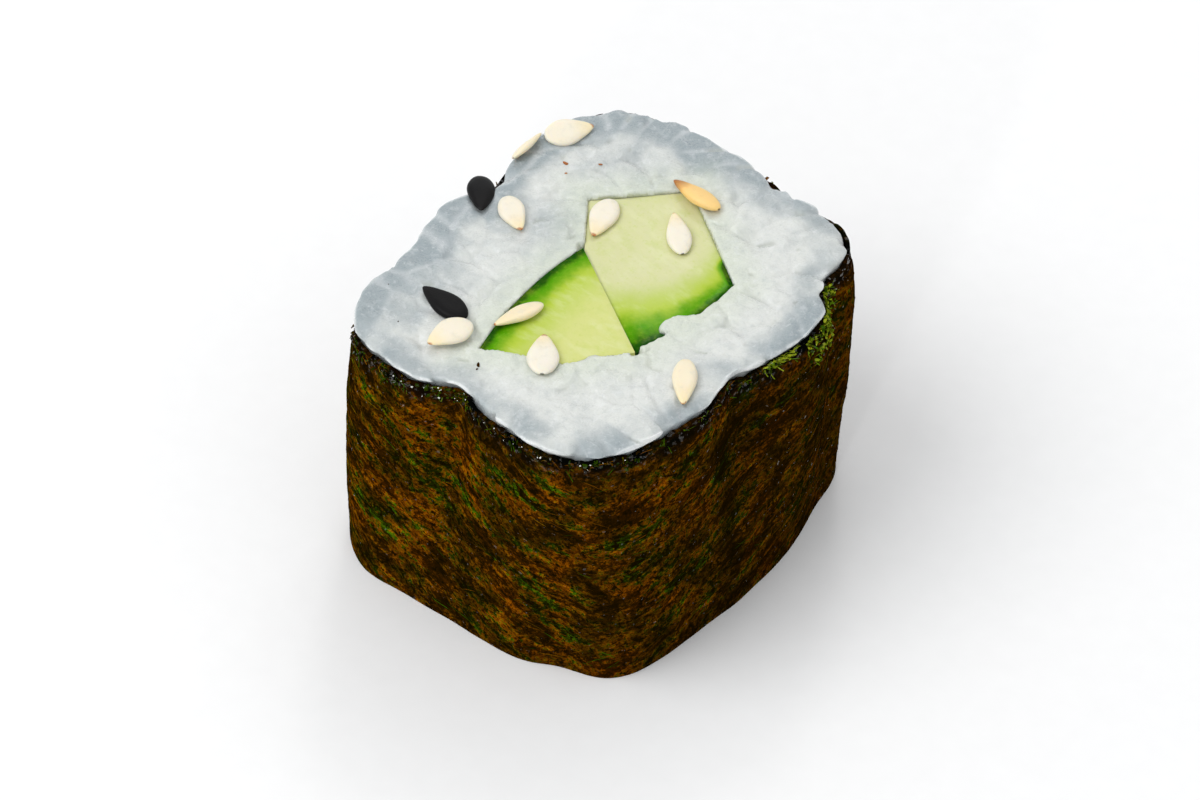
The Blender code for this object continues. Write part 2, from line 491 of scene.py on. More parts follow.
class FinishBench:
    """Lays out the shader nodes of one material."""

    def __init__(self, name: str) -> None:
        """Start a material with nothing but its shader and output."""
        self.material = bpy.data.materials.new(name)
        self.material.use_nodes = True
        self.tree = self.material.node_tree
        self.shader = self.tree.nodes["Principled BSDF"]

    def put(self, kind: str, inputs: dict | None = None, **settings: object) -> bpy.types.Node:
        """Add a node.

        Args:
            kind: The node's type, without its ShaderNode prefix.
            inputs: A value or a socket for each input, by name or number.
            **settings: The node's own properties.

        Returns:
            The node.
        """
        node = self.tree.nodes.new("ShaderNode" + kind)
        for key, value in settings.items():
            setattr(node, key, value)
        for key, value in (inputs or {}).items():
            self.feed(node.inputs[key], value)
        return node

    def feed(self, target: Socket, value: object) -> None:
        """Link a socket to an input, or set the input to a plain value.

        Args:
            target: The input.
            value: A socket, a number, a colour or a vector.
        """
        if isinstance(value, bpy.types.NodeSocket):
            self.tree.links.new(value, target)
        elif isinstance(value, tuple) and len(value) == 3 and target.type == "RGBA":
            target.default_value = (*value, 1.0)
        else:
            target.default_value = value

    def dress(self, **inputs: object) -> None:
        """Feed the shader's inputs, with underscores for the spaces in their names."""
        for key, value in inputs.items():
            self.feed(self.shader.inputs[key.replace("_", " ")], value)

    def math(self, operation: str, first: object, second: object, third: object = 0.0) -> Socket:
        """Combine two or three numbers and clamp nothing."""
        return self.put("Math", {0: first, 1: second, 2: third}, operation=operation).outputs[0]

    def times(self, *values: object) -> Socket:
        """Multiply numbers."""
        return reduce(lambda first, second: self.math("MULTIPLY", first, second), values)

    def times_plus(self, value: object, factor: object, extra: object) -> Socket:
        """Multiply a number and add another."""
        return self.math("MULTIPLY_ADD", value, factor, extra)

    def ease(self, value: Socket, low: float, high: float, start: float = 0.0, end: float = 1.0) -> Socket:
        """Ease a number from one range to another."""
        inputs = {"Value": value, "From Min": low, "From Max": high, "To Min": start, "To Max": end}
        return self.put("MapRange", inputs, interpolation_type="SMOOTHSTEP").outputs[0]

    def blend(self, share: object, first: object, second: object, mode: str = "MIX") -> Socket:
        """Mix two colours."""
        node = self.put("Mix", {0: share, 6: first, 7: second}, data_type="RGBA", blend_type=mode)
        return node.outputs[2]

    def over(
        self, base: Socket, colour: Colour, pattern: Socket, low: float, high: float, most: float
    ) -> Socket:
        """Lay a colour over another where a pattern is strong."""
        return self.blend(self.ease(pattern, low, high, 0.0, most), base, colour)

    def beyond(self, place: Socket, point: Vector, way: Vector) -> Socket:
        """Measure how far past a point places lie in one direction, in millimetres."""
        away = self.put("VectorMath", {0: place, 1: tuple(point / MM)}, operation="SUBTRACT").outputs[0]
        return self.put("VectorMath", {0: away, 1: tuple(way)}, operation="DOT_PRODUCT").outputs["Value"]

    def place(self, source: Socket, turn: float, scale: Colour) -> Socket:
        """Turn a pattern's coordinates in the plane, then stretch them."""
        turned = self.put("Mapping", {"Vector": source, "Rotation": (0.0, 0.0, turn)})
        return self.put("Mapping", {"Vector": turned.outputs[0], "Scale": scale}).outputs[0]

    def noise(self, source: Socket, scale: float, detail: float, rough: float) -> Socket:
        """Read a noise pattern."""
        inputs = {"Vector": source, "Scale": scale, "Detail": detail, "Roughness": rough}
        return self.put("TexNoise", inputs).outputs[0]

    def cells(self, source: Socket, scale: float) -> Socket:
        """Read a cell pattern's distance."""
        return self.put("TexVoronoi", {"Vector": source, "Scale": scale}).outputs["Distance"]

    def bent(self, source: Socket, scale: float, amount: float) -> Socket:
        """Shift a pattern's coordinates about, so that its lines bend a little.

        Args:
            source: The coordinates.
            scale: The scale of the shifts' pattern.
            amount: How far they shift, at most.

        Returns:
            The shifted coordinates.
        """
        drift = self.put("TexNoise", {"Vector": source, "Scale": scale, "Detail": 1.0}).outputs[1]
        shift = {0: drift, 1: (amount, amount, amount), 2: source}
        return self.put("VectorMath", shift, operation="MULTIPLY_ADD").outputs[0]

    def number(self, share: Socket, first: object, second: object) -> Socket:
        """Mix two numbers."""
        return self.put("Mix", {0: share, 2: first, 3: second}).outputs[0]

    def attribute(self, name: str, output: str = "Fac") -> Socket:
        """Read one of the mesh's own attributes."""
        return self.put("Attribute", attribute_name=name).outputs[output]

    def millimetres(self) -> Socket:
        """Give the object's own coordinates, counted in millimetres."""
        source = self.put("TexCoord").outputs["Object"]
        return self.put("Mapping", {"Vector": source, "Scale": (1.0 / MM,) * 3}).outputs[0]

    def relief(self, height: Socket, depth: float, strength: float) -> Socket:
        """Turn a height pattern into a bumped normal."""
        inputs = {"Height": height, "Distance": depth, "Strength": strength}
        return self.put("Bump", inputs).outputs[0]


@dataclass(frozen=True)
class RiceFinish:
    """Moist cooked rice: cloudy white grains, glassier and greyer towards the rim."""

    cloudy: Colour = (0.71, 0.725, 0.695)
    glassy: Colour = (0.33, 0.38, 0.40)
    greenish: Colour = (0.62, 0.68, 0.53)
    # Light grain edges; also the painted highlights along the rim's lip and the edges over the cucumber.
    outline: Colour = (0.82, 0.84, 0.84)
    # Painted shade in the holes between grains.
    pit: Colour = (0.42, 0.45, 0.36)
    # The white of the painted glints on the rice.
    rice_glint_white: Colour = (0.95, 0.96, 0.96)
    clouds: Pattern = (0.42, 3.0, 0.6)
    shreds: Pattern = (1.7, 5.0, 0.72)
    haze: Pattern = (0.85, 4.0, 0.62)
    rice_glints: Pattern = (3.1, 3.0, 0.65)
    fine: Pattern = (7.5, 3.0, 0.65)
    film: Pattern = (3.6, 3.0, 0.7)

    def make(self) -> bpy.types.Material:
        """Build the material.

        Returns:
            The material.
        """
        bench = FinishBench("rice")
        place = bench.millimetres()
        rim = bench.attribute("rim")
        shreds = bench.noise(bench.bent(place, 1.1, 0.8), *self.shreds)
        haze = bench.noise(place, *self.haze)
        drift = bench.times_plus(
            bench.attribute("tone"), 0.40, bench.times(bench.noise(place, *self.clouds), 0.75)
        )
        share = bench.ease(bench.times_plus(rim, 0.80, drift), 0.62, 1.5)
        base = bench.blend(share, self.cloudy, self.glassy)
        base = bench.blend(bench.times(bench.attribute("near"), 0.5), base, self.greenish)
        base = bench.over(base, self.outline, shreds, 0.50, 0.68, 0.30)
        base = bench.over(base, self.glassy, shreds, 0.46, 0.34, 0.16)
        base = bench.over(base, self.glassy, haze, 0.46, 0.66, 0.14)
        # Light lines along the creases between grains, stronger where the rice is glassy and at the rim:
        # partly the grains' clear edges, partly painted highlight.
        drawn = bench.math(
            "ADD", bench.ease(share, 0.15, 0.8, 0.02, 0.12), bench.ease(rim, 0.86, 1.16, 0.0, 0.20)
        )
        base = bench.blend(bench.times(bench.attribute("seam"), drawn), base, self.outline)
        # Painted glints: rare tiny white specks that stand for glints off the moist film.
        rice_glints = bench.noise(bench.bent(place, 2.0, 0.5), *self.rice_glints)
        base = bench.over(base, self.rice_glint_white, rice_glints, 0.66, 0.72, 0.25)
        # Painted shade darkens the few small holes between grains.
        base = bench.blend(bench.times(bench.attribute("pit"), 0.3), base, self.pit)
        # Painted highlight: a bright line along the lip over the nori and the edges over the cucumber,
        # broken up by the haze.
        edge_highlight_share = bench.ease(haze, 0.40, 0.56, 0.25, 0.70)
        base = bench.blend(bench.times(bench.attribute("edge"), edge_highlight_share), base, self.outline)
        fine = bench.noise(place, *self.fine)
        hollows = bench.cells(bench.bent(place, 0.9, 0.7), 1.15)
        height = bench.times_plus(hollows, -0.9, bench.times_plus(fine, 0.45, shreds))
        bench.dress(
            Base_Color=base,
            Roughness=bench.ease(fine, 0.3, 0.7, 0.22, 0.40),
            Normal=bench.relief(height, 0.09 * MM, 0.9),
            Subsurface_Weight=0.80,
            Subsurface_Radius=(1.0, 1.0, 0.95),
            Subsurface_Scale=0.32 * MM,
            IOR=1.37,
            Coat_Weight=0.7,
            Coat_Roughness=0.08,
            Coat_Normal=bench.relief(bench.noise(place, *self.film), 0.08 * MM, 1.0),
        )
        return bench.material


@dataclass(frozen=True)
class NoriFinish:
    """Pressed seaweed: hay-like fibres, brown, olive and green, over a nearly black ground.

    Main holds its main strands' fineness and slimness. Crossing adds layers that are turned away
    from them, each with its turn in degrees, fineness, slimness and strength.
    """

    ground: Colour = (0.0060, 0.0034, 0.0002)
    brown: Colour = (0.060, 0.020, 0.0003)
    orange: Colour = (0.310, 0.108, 0.0016)
    olive: Colour = (0.265, 0.165, 0.0030)
    green: Colour = (0.062, 0.165, 0.0025)
    # Near-black for the band under the rice's rim: partly wet nori, partly painted shadow under the rice's
    # overhanging lip.
    wet: Colour = (0.0016, 0.0018, 0.0013)
    fresh: Colour = (0.36, 0.42, 0.020)
    rust: Colour = (1.0, 0.78, 0.45)
    # The colour of painted glints on the sheet and on torn flakes.
    nori_glint_white: Colour = (0.75, 0.76, 0.70)
    main: tuple[float, float] = (1.8, 5.5)
    crossing: tuple[tuple[float, float, float, float], ...] = ((-24, 2.4, 4.8, 0.75), (36, 2.5, 4.0, 0.5))
    slope: float = 28.0
    strand: Pattern = (1.0, 3.0, 0.56)
    drift: Pattern = (1.0, 4.0, 0.66)
    mottle: Pattern = (2.9, 3.0, 0.7)
    redness: Pattern = (0.30, 2.0, 0.5)
    gloom: Pattern = (0.30, 5.0, 0.72)
    holes: Pattern = (2.4, 4.0, 0.7)
    crisp: Pattern = (0.55, 3.0, 0.6)
    grit: Pattern = (6.0, 3.0, 0.7)
    film: Pattern = (2.4, 2.0, 0.6)
    sparks: Pattern = (2.6, 2.0, 0.6)

    def tint(self, bench: FinishBench, hue: Socket) -> Socket:
        """Pick a fibre's colour.

        Args:
            bench: The material's bench.
            hue: A number from 0 for brown through orange and olive to 1 for green.

        Returns:
            The colour.
        """
        warm = bench.blend(bench.ease(hue, 0.12, 0.42), self.brown, self.orange)
        yellow = bench.blend(bench.ease(hue, 0.47, 0.62), warm, self.olive)
        return bench.blend(bench.ease(hue, 0.63, 0.76), yellow, self.green)

    def strands(self, bench: FinishBench, place: Socket, turn: float, fine: float, slim: float) -> Socket:
        """Draw one layer of thin strands, bright along their backs."""
        laid = bench.place(place, math.radians(-turn), (fine / slim, fine, 1.0))
        return bench.ease(bench.noise(laid, *self.strand), 0.43, 0.67)

    def felt(self, bench: FinishBench, place: Socket, turn: float) -> tuple[Socket, Socket]:
        """Lay several layers of strands round one main direction.

        Args:
            bench: The material's bench.
            place: The sheet's coordinates in millimetres.
            turn: The main direction, in degrees.

        Returns:
            The strands' brightness, and a number that drifts along them and picks their colour.
        """
        light = self.strands(bench, place, turn, *self.main)
        for away, fine, slim, power in self.crossing:
            layer = self.strands(bench, place, turn + away, fine, slim)
            light = bench.math("MAXIMUM", light, bench.times(layer, power))
        drawn = bench.place(place, math.radians(-turn), (0.20, 0.62, 1.0))
        return light, bench.noise(drawn, *self.drift)

    def share(self, bench: FinishBench, sheet: Socket, fibres: Socket, hue: Socket, grit: Socket) -> Socket:
        """Work out how much of the fibres' colour shows over the ground.

        Args:
            bench: The material's bench.
            sheet: The sheet's coordinates in millimetres.
            fibres: The strands' brightness.
            hue: The number that picks their colour.
            grit: The pattern of the dust.

        Returns:
            The share.
        """
        place = bench.bent(sheet, 0.5, 0.35)
        gloom = bench.ease(bench.noise(sheet, *self.gloom), 0.38, 0.60, 0.18, 1.12)
        holes = bench.ease(bench.noise(place, *self.holes), 0.53, 0.62, 1.15, 0.06)
        dust = bench.ease(grit, 0.38, 0.60, 0.60, 1.25)
        # The sunlit attribute is painted shade, duller towards +X.
        share = bench.times(fibres, gloom, holes, dust, bench.attribute("sunlit"))
        leafy = bench.ease(hue, 0.60, 0.76)
        return bench.number(leafy, share, bench.times(share, bench.times(share, 1.25)))

    def make(self) -> bpy.types.Material:
        """Build the sheet's material.

        Returns:
            The material.
        """
        bench = FinishBench("nori")
        sheet = bench.attribute("sheet", "Vector")
        place = bench.bent(sheet, 0.5, 0.35)
        lean = bench.ease(bench.attribute("lean"), -0.35, 0.35)
        falling, rising = (self.felt(bench, place, turn) for turn in (-self.slope, self.slope))
        fibres, drift = (bench.number(lean, *pair) for pair in zip(falling, rising))
        mottle = bench.math("SUBTRACT", bench.noise(place, *self.mottle), 0.5)
        hue = bench.ease(bench.times_plus(mottle, 0.62, drift), 0.32, 0.72)
        crisp = bench.ease(bench.noise(sheet, *self.crisp), 0.40, 0.64, 0.30, 1.0)
        fibres = bench.number(crisp, 0.33, fibres)
        grit = bench.noise(sheet, *self.grit)
        rusty = bench.ease(bench.noise(sheet, *self.redness), 0.42, 0.62)
        tint = bench.blend(rusty, self.tint(bench, hue), self.rust, "MULTIPLY")
        base = bench.blend(self.share(bench, sheet, fibres, hue, grit), self.ground, tint)
        # Painted glints: rare tiny pale specks that stand for glints on the sheet.
        nori_glint_specks = bench.ease(bench.cells(bench.bent(sheet, 0.6, 0.6), 0.36), 0.040, 0.024)
        few = bench.ease(bench.noise(sheet, 0.9, 1.0, 0.5), 0.54, 0.58)
        base = bench.blend(bench.times(nori_glint_specks, few), base, self.nori_glint_white)
        # The moist band under the rim: partly wet nori, partly painted shadow under the rice's lip.
        moist = bench.attribute("moist")
        wet_sparks = bench.ease(bench.noise(sheet, *self.film), 0.56, 0.64)
        sparks = bench.ease(bench.noise(sheet, *self.sparks), 0.685, 0.705)
        bench.dress(
            Base_Color=bench.blend(moist, base, self.wet),
            Roughness=bench.ease(grit, 0.3, 0.7, 0.5, 0.75),
            Normal=bench.relief(bench.times_plus(grit, 0.5, fibres), 0.09 * MM, 0.8),
            Specular_IOR_Level=0.0,
            Coat_Weight=bench.math("MAXIMUM", bench.times(moist, wet_sparks), sparks),
            Coat_Roughness=0.07,
            Coat_Normal=bench.relief(bench.noise(sheet, 4.0, 2.0, 0.6), 0.16 * MM, 1.0),
        )
        return bench.material

    def make_loose(self, name: str, wet: float) -> bpy.types.Material:
        """Build the material of loose fibres and torn bits, which carry their own hue and shade.

        Args:
            name: The material's name.
            wet: How moist they are, from 0 to 1.

        Returns:
            The material.
        """
        bench = FinishBench(name)
        place = bench.millimetres()
        hue = bench.attribute("hue")
        shade = bench.attribute("shade")
        speck = bench.noise(place, 5.0, 2.0, 0.6)
        lit = bench.times(shade, bench.ease(speck, 0.3, 0.7, 0.6, 1.25))
        base = bench.blend(lit, self.ground, self.tint(bench, hue))
        fresh = bench.times(bench.ease(hue, 1.0, 1.7), bench.ease(shade, 0.0, 0.5))
        base = bench.blend(fresh, base, self.fresh)
        # Painted glints: bits with the glint hue turn nearly white.
        base = bench.over(base, self.nori_glint_white, hue, 2.2, 2.4, 1.0)
        glint = bench.ease(bench.noise(place, 3.4, 2.0, 0.6), 0.57, 0.62, 0.0, wet)
        bench.dress(
            Base_Color=base,
            Roughness=bench.ease(speck, 0.3, 0.7, 0.34, 0.60),
            Normal=bench.relief(speck, 0.03 * MM, 0.6),
            Specular_IOR_Level=0.0,
            Coat_Weight=glint,
            Coat_Roughness=0.06,
        )
        return bench.material


@dataclass(frozen=True)
class CucumberFinish:
    """Cut cucumber: pale moist flesh that turns green towards a dark rind.

    The greater deep and far are, which hold at the rind's two ends, the narrower the green there.
    Wrap is how far the green goes on round the second end, in millimetres.
    """

    shape: BatonShape
    pale: Colour
    deep: float
    far: float
    wrap: float
    lime: Colour = (0.42, 0.55, 0.040)
    bright: Colour = (0.085, 0.31, 0.0010)
    dark: Colour = (0.007, 0.065, 0.0004)
    string: Colour = (0.80, 0.81, 0.56)

    def depth(self, bench: FinishBench, place: Socket) -> Socket:
        """Measure how deep places lie under the rind, which wavers and goes round its other end.

        Args:
            bench: The material's bench.
            place: The object's coordinates in millimetres.

        Returns:
            The depth in millimetres, scaled by the finish's own numbers.
        """
        middle, radius = self.shape.rind_circle()
        split = bench.put("SeparateXYZ", {0: place}).outputs
        across = bench.put("CombineXYZ", {0: split[0], 1: split[1], 2: 0.0}).outputs[0]
        centre = (middle.x / MM, middle.y / MM, 0.0)
        reach = bench.put("VectorMath", {0: across, 1: centre}, operation="DISTANCE").outputs["Value"]
        start, end = self.shape.side_points(self.shape.rind_side)
        length = (end - start).length
        run = bench.beyond(across, start, (end - start) / length)
        scale = bench.ease(run, 0.0, length / MM, self.deep, self.far)
        waver = bench.math("SUBTRACT", bench.noise(place, 0.9, 3.0, 0.6), 0.5)
        depth = bench.times_plus(waver, 0.9, bench.times(bench.math("SUBTRACT", radius / MM, reach), scale))
        if not self.wrap:
            return depth
        ahead, outward = self.shape.side_directions(self.shape.rind_side + 1)
        fading = bench.ease(bench.beyond(across, end, ahead), 0.5 * self.wrap, self.wrap, 0.0, 1.2)
        round_end = bench.math("ADD", bench.beyond(across, end, -outward), fading)
        return bench.math("MINIMUM", depth, bench.times_plus(round_end, 3.0, -0.55))

    def make(self) -> bpy.types.Material:
        """Build the material.

        Returns:
            The material.
        """
        bench = FinishBench(self.shape.node)
        place = bench.millimetres()
        depth = self.depth(bench, place)
        inner = bench.blend(bench.ease(depth, 1.0, 4.0), self.lime, self.pale)
        outer = bench.blend(bench.ease(depth, 0.10, 0.70), self.dark, self.bright)
        base = bench.blend(bench.ease(depth, 0.60, 1.70), outer, inner)
        grown = bench.put("Mapping", {"Vector": place, "Scale": (1.0, 1.0, 0.12)}).outputs[0]
        base = bench.over(base, self.lime, bench.noise(grown, 0.9, 4.0, 0.65), 0.45, 0.75, 0.20)
        start, end = self.shape.side_points(self.shape.rind_side)
        aim = -math.atan2(end.y - start.y, end.x - start.x)
        strings = bench.noise(bench.place(place, aim, (1.3, 0.5, 1.0)), 1.0, 3.0, 0.6)
        pale_share = bench.times(bench.ease(strings, 0.46, 0.72, 0.0, 0.20), bench.ease(depth, 0.8, 2.0))
        base = bench.blend(pale_share, base, self.string)
        fine = bench.noise(place, 3.5, 4.0, 0.65)
        bench.dress(
            Base_Color=bench.over(base, self.lime, fine, 0.52, 0.75, 0.22),
            Roughness=bench.ease(fine, 0.3, 0.7, 0.2, 0.36),
            Normal=bench.relief(fine, 0.05 * MM, 0.5),
            Subsurface_Weight=0.35,
            Subsurface_Radius=(1.0, 1.0, 0.35),
            Subsurface_Scale=0.22 * MM,
            IOR=1.36,
            Specular_IOR_Level=0.03,
            Coat_Weight=0.05,
            Coat_Roughness=0.1,
        )
        return bench.material


CUCUMBER_FINISHES = (
    CucumberFinish(BATONS[0], pale=(0.63, 0.655, 0.245), deep=0.85, far=0.85, wrap=0.0),
    CucumberFinish(BATONS[1], pale=(0.645, 0.65, 0.36), deep=0.36, far=1.1, wrap=3.5),
)


class SeedKind(Enum):
    """The kinds of sesame seed on the roll."""

    WHITE = "white"
    TOASTED = "toasted"
    BLACK = "black"


@dataclass(frozen=True)
class SeedFinish:
    """Dry sesame: a body colour that turns to another at the pointed end."""

    kind: SeedKind
    body: Colour
    tip: Colour
    eye: Colour
    gloss: float
    soft: float
    shine: float
    scar: float = 0.94

    def make(self) -> bpy.types.Material:
        """Build the material.

        Returns:
            The material.
        """
        bench = FinishBench(f"sesame_{self.kind.value}")
        place = bench.millimetres()
        along = bench.attribute("along")
        mottle = bench.noise(place, 1.6, 3.0, 0.6)
        where = bench.math("ADD", along, bench.times(bench.math("SUBTRACT", mottle, 0.5), 0.30))
        body = bench.blend(bench.attribute("warm"), self.body, self.tip)
        tint = bench.over(body, self.tip, where, 0.50, 1.0, 0.85)
        tint = bench.over(tint, self.eye, where, self.scar, 1.0, 1.0)
        darker = tuple(0.80 * part for part in self.body)
        base = bench.over(tint, darker, mottle, 0.50, 0.8, 0.5)
        pores = bench.noise(place, 9.0, 2.0, 0.6)
        bench.dress(
            Base_Color=base,
            Roughness=self.gloss,
            Normal=bench.relief(pores, 0.04 * MM, 0.5),
            Subsurface_Weight=self.soft,
            Subsurface_Radius=(1.0, 0.85, 0.55),
            Subsurface_Scale=0.35 * MM,
            Specular_IOR_Level=self.shine,
        )
        return bench.material


SEED_FINISHES = (
    SeedFinish(
        SeedKind.WHITE, body=(0.84, 0.795, 0.69), tip=(0.88, 0.74, 0.46), eye=(0.45, 0.16, 0.03),
        gloss=0.38, soft=0.6, shine=0.4,
    ),
    SeedFinish(
        SeedKind.TOASTED, body=(0.96, 0.69, 0.28), tip=(0.88, 0.40, 0.06), eye=(0.34, 0.10, 0.010),
        gloss=0.35, soft=0.35, shine=0.5, scar=0.64,
    ),
    SeedFinish(
        SeedKind.BLACK, body=(0.006, 0.006, 0.0065), tip=(0.009, 0.008, 0.008), eye=(0.02, 0.02, 0.02),
        gloss=0.42, soft=0.0, shine=0.10,
    ),
)


# ---- Rice ----

@dataclass
class Grain:
    """One pressed grain.

    Attributes:
        place: Its position, turn and size, from a ball of radius 1.
        cap: The height it is cut or pressed flat at.
        slope: How the flat leans, along X and Y.
        tone: 0 for a cloudy grain and 1 for a glassy one.
        creeps: Whether it may lie over the cucumber.
    """

    place: Matrix
    cap: float
    slope: tuple[float, float]
    tone: float
    creeps: bool = False


@dataclass
class RiceBed:
    """Grains of rice packed and pressed at one cut face, over a slab of the core.

    Attributes:
        shape: The roll's measures.
        face: Which cut face it is.
        seed: Where its random draws start.
        length: A grain's length.
        width: A grain's width.
        rim_spacing: How far apart the grains lie along the rim.
        spacing: How close two grains' middles may come elsewhere.
        depth: How deep the bed goes.
        voxel: How finely the grains are fused.
        rim_depths: How far under the face the rim's grains lie, in millimetres.
        field_depths: The same for the grains of the field.
        creeper_depths: The same for the grains that lap over the cucumber.
        tries: How many places are tried for a grain of the field.
        creeper_edges: Where grains lap over it: baton, side, first and last share, shift.
        lumps: The rice's unevenness: the size and the height of each kind, in millimetres.
        smeared: How much of the way the knife pressed the face flat.
    """

    shape: RollShape
    face: CutFace
    seed: int
    length: float = 6.0 * MM
    width: float = 2.9 * MM
    rim_spacing: float = 2.5 * MM
    spacing: float = 2.3 * MM
    depth: float = 3.2 * MM
    voxel: float = 0.155 * MM
    rim_depths: tuple[float, float] = (0.75, 1.15)
    field_depths: tuple[float, float] = (0.40, 0.85)
    creeper_depths: tuple[float, float] = (0.80, 1.05)
    tries: int = 6000
    creeper_edges: tuple[tuple[int, int, float, float, float], ...] = (
        (0, 1, 0.0, 1.0, 0.0), (0, 2, 0.0, 1.0, 0.0), (1, 1, 0.20, 0.66, -0.45)
    )
    lumps: tuple[tuple[float, float], ...] = ((0.65, 0.065), (1.4, 0.11))
    smeared: float = 0.58
    grains: list[Grain] = field(default_factory=list)

    def build(self) -> bpy.types.Object:
        """Model the bed.

        Returns:
            The finished object, without its material.
        """
        self.draw_rim()
        self.draw_field()
        self.draw_creepers()
        model = self.model_grain()
        copies = [copy_of(model, grain.place) for grain in self.grains]
        each = len(model.data.vertices)
        discard(model)
        bed = join_pieces("grains", copies)
        self.press(bed, each)
        bed = join_pieces(f"rice_{self.face.value}", [bed, self.model_slab()])
        apply_modifier(bed, "REMESH", mode="VOXEL", voxel_size=self.voxel, adaptivity=0.0)
        apply_modifier(bed, "SMOOTH", factor=0.5, iterations=2)
        self.settle(bed)
        cut_channels(bed, self.shape)
        self.paint(bed)
        if self.face is CutFace.LOWER:
            self.turn_over(bed)
        smooth_over(bed)
        return bed

    def wall(self, angle: np.ndarray | float, z: np.ndarray | float) -> np.ndarray:
        """Give the outline at a height above the other cut face."""
        return self.shape.radius(angle, z if self.face is CutFace.UPPER else self.shape.height - z)

    def grain_at(
        self, draw: random.Random, middle: Vector, yaw: float, tone: float, lie: float, creeps: bool = False
    ) -> Grain:
        """Make one grain round a point.

        Args:
            draw: The random source.
            middle: Its middle.
            yaw: Which way it points, seen from above.
            tone: How glassy it is.
            lie: How steeply it may stand, in radians.
            creeps: Whether it may lie over the cucumber.

        Returns:
            The grain.
        """
        turn = Euler((draw.uniform(-0.5, 0.5), draw.uniform(-lie, lie), yaw))
        sizes = ((self.length, 0.85, 1.15), (self.width, 0.9, 1.12), (self.width, 0.82, 1.0))
        half = Vector([0.5 * size * draw.uniform(least, most) for size, least, most in sizes])
        cap = self.shape.height + draw.gauss(-0.03, 0.055) * MM
        slope = (draw.gauss(0.0, 0.03), draw.gauss(0.0, 0.03))
        return Grain(Matrix.LocRotScale(middle, turn, half), cap, slope, tone, creeps)

    def draw_rim(self) -> None:
        """Lay grains side by side along the rim, most with one end facing out."""
        draw = random.Random(self.seed)
        angles = np.linspace(0.0, TURN, 721)
        radii = self.wall(angles, self.shape.height)
        steps = np.hypot(np.diff(radii * np.cos(angles)), np.diff(radii * np.sin(angles)))
        length = np.concatenate([[0.0], np.cumsum(steps)])
        count = int(length[-1] / self.rim_spacing)
        for index in range(count):
            at = (index + draw.uniform(-0.3, 0.3)) / count * length[-1]
            angle = float(np.interp(at % length[-1], length, angles))
            outward = draw.random() < 0.45
            half = 0.5 * (self.length if outward else self.width)
            inset = half * draw.uniform(0.82, 0.98) - draw.uniform(0.15, 0.50) * MM
            radius = float(self.wall(angle, self.shape.height)) - inset
            z = self.shape.height - draw.uniform(*self.rim_depths) * MM
            yaw = angle + draw.gauss(0.0, 0.35) + (0.0 if outward else math.pi / 2)
            middle = Vector((radius * math.cos(angle), radius * math.sin(angle), z))
            tone = draw.uniform(0.35, 1.0)
            self.grains.append(self.grain_at(draw, middle, yaw, tone, 0.35))

    def draw_field(self) -> None:
        """Scatter grains over the rest of the face, off the cucumber."""
        draw = random.Random(self.seed + 1)
        taken: list[Vector] = []
        inset = 2.2 * MM
        reach = float(self.shape.radii.max())
        for _ in range(self.tries):
            x, y = draw.uniform(-reach, reach), draw.uniform(-reach, reach)
            angle = math.atan2(y, x)
            if math.hypot(x, y) > self.wall(angle, self.shape.height) - inset:
                continue
            flat = Vector((x, y, 0.0))
            spot = np.array([[x, y, 0.0]])
            if max(float(baton.depth(spot)[0]) for baton in BATONS) > 0.2 * MM:
                continue
            if any((flat - other).length < self.spacing for other in taken):
                continue
            taken.append(flat)
            middle = flat + Vector((0, 0, self.shape.height - draw.uniform(*self.field_depths) * MM))
            yaw = draw.uniform(0, math.pi)
            self.grains.append(self.grain_at(draw, middle, yaw, draw.uniform(0.0, 0.75), 0.25))

    def draw_creepers(self) -> None:
        """Lay grains that lap over the cucumber's edges, where the rice was pressed over them."""
        draw = random.Random(self.seed + 2)
        for number, side, first, last, shift in self.creeper_edges:
            baton = BATONS[number]
            start, end = baton.side_points(side)
            along, outward = baton.side_directions(side)
            count = max(2, round((end - start).length / (1.6 * MM)))
            for index in range(count):
                at = (index + 0.5 + draw.uniform(-0.25, 0.25)) / count
                if not first <= at <= last:
                    continue
                bow = baton.bulge * 4 * at * (1 - at) if side == baton.rind_side else 0.0
                middle = start.lerp(end, at) + outward * (bow + (shift + draw.uniform(0.15, 1.15)) * MM)
                middle.z = self.shape.height - draw.uniform(*self.creeper_depths) * MM
                yaw = math.atan2(along.y, along.x) + draw.gauss(0.0, 0.6)
                self.grains.append(self.grain_at(draw, middle, yaw, draw.uniform(0, 0.4), 0.15, True))

    def model_grain(self) -> bpy.types.Object:
        """Model one grain as a ball of radius 1 with a blunt and a narrower end.

        Returns:
            The grain.
        """
        grain = model_ball(18, 12, 1.0)
        points = read_points(grain)
        narrow = 1.0 - 0.16 * smooth_step(0.0, 1.0, points[:, 0])
        points[:, 1] *= narrow
        points[:, 2] *= narrow
        write_points(grain, points)
        return grain

    def model_slab(self) -> bpy.types.Object:
        """Model the slab of the core that the grains lie on.

        Returns:
            The slab.
        """
        deselect_all()
        count = 96
        bpy.ops.mesh.primitive_cylinder_add(vertices=count, radius=1.0, depth=1.0)
        slab = bpy.context.object
        points = read_points(slab)
        angles = directions(points)
        low = self.shape.height - self.depth
        high = self.shape.height - (0.30 + 0.06 * np.sin(9 * angles) + 0.05 * np.sin(23 * angles)) * MM
        radius = self.wall(angles, high) - 0.08 * MM
        z = np.where(points[:, 2] > 0.0, high, low)
        write_points(slab, around(radius, angles, z))
        return slab

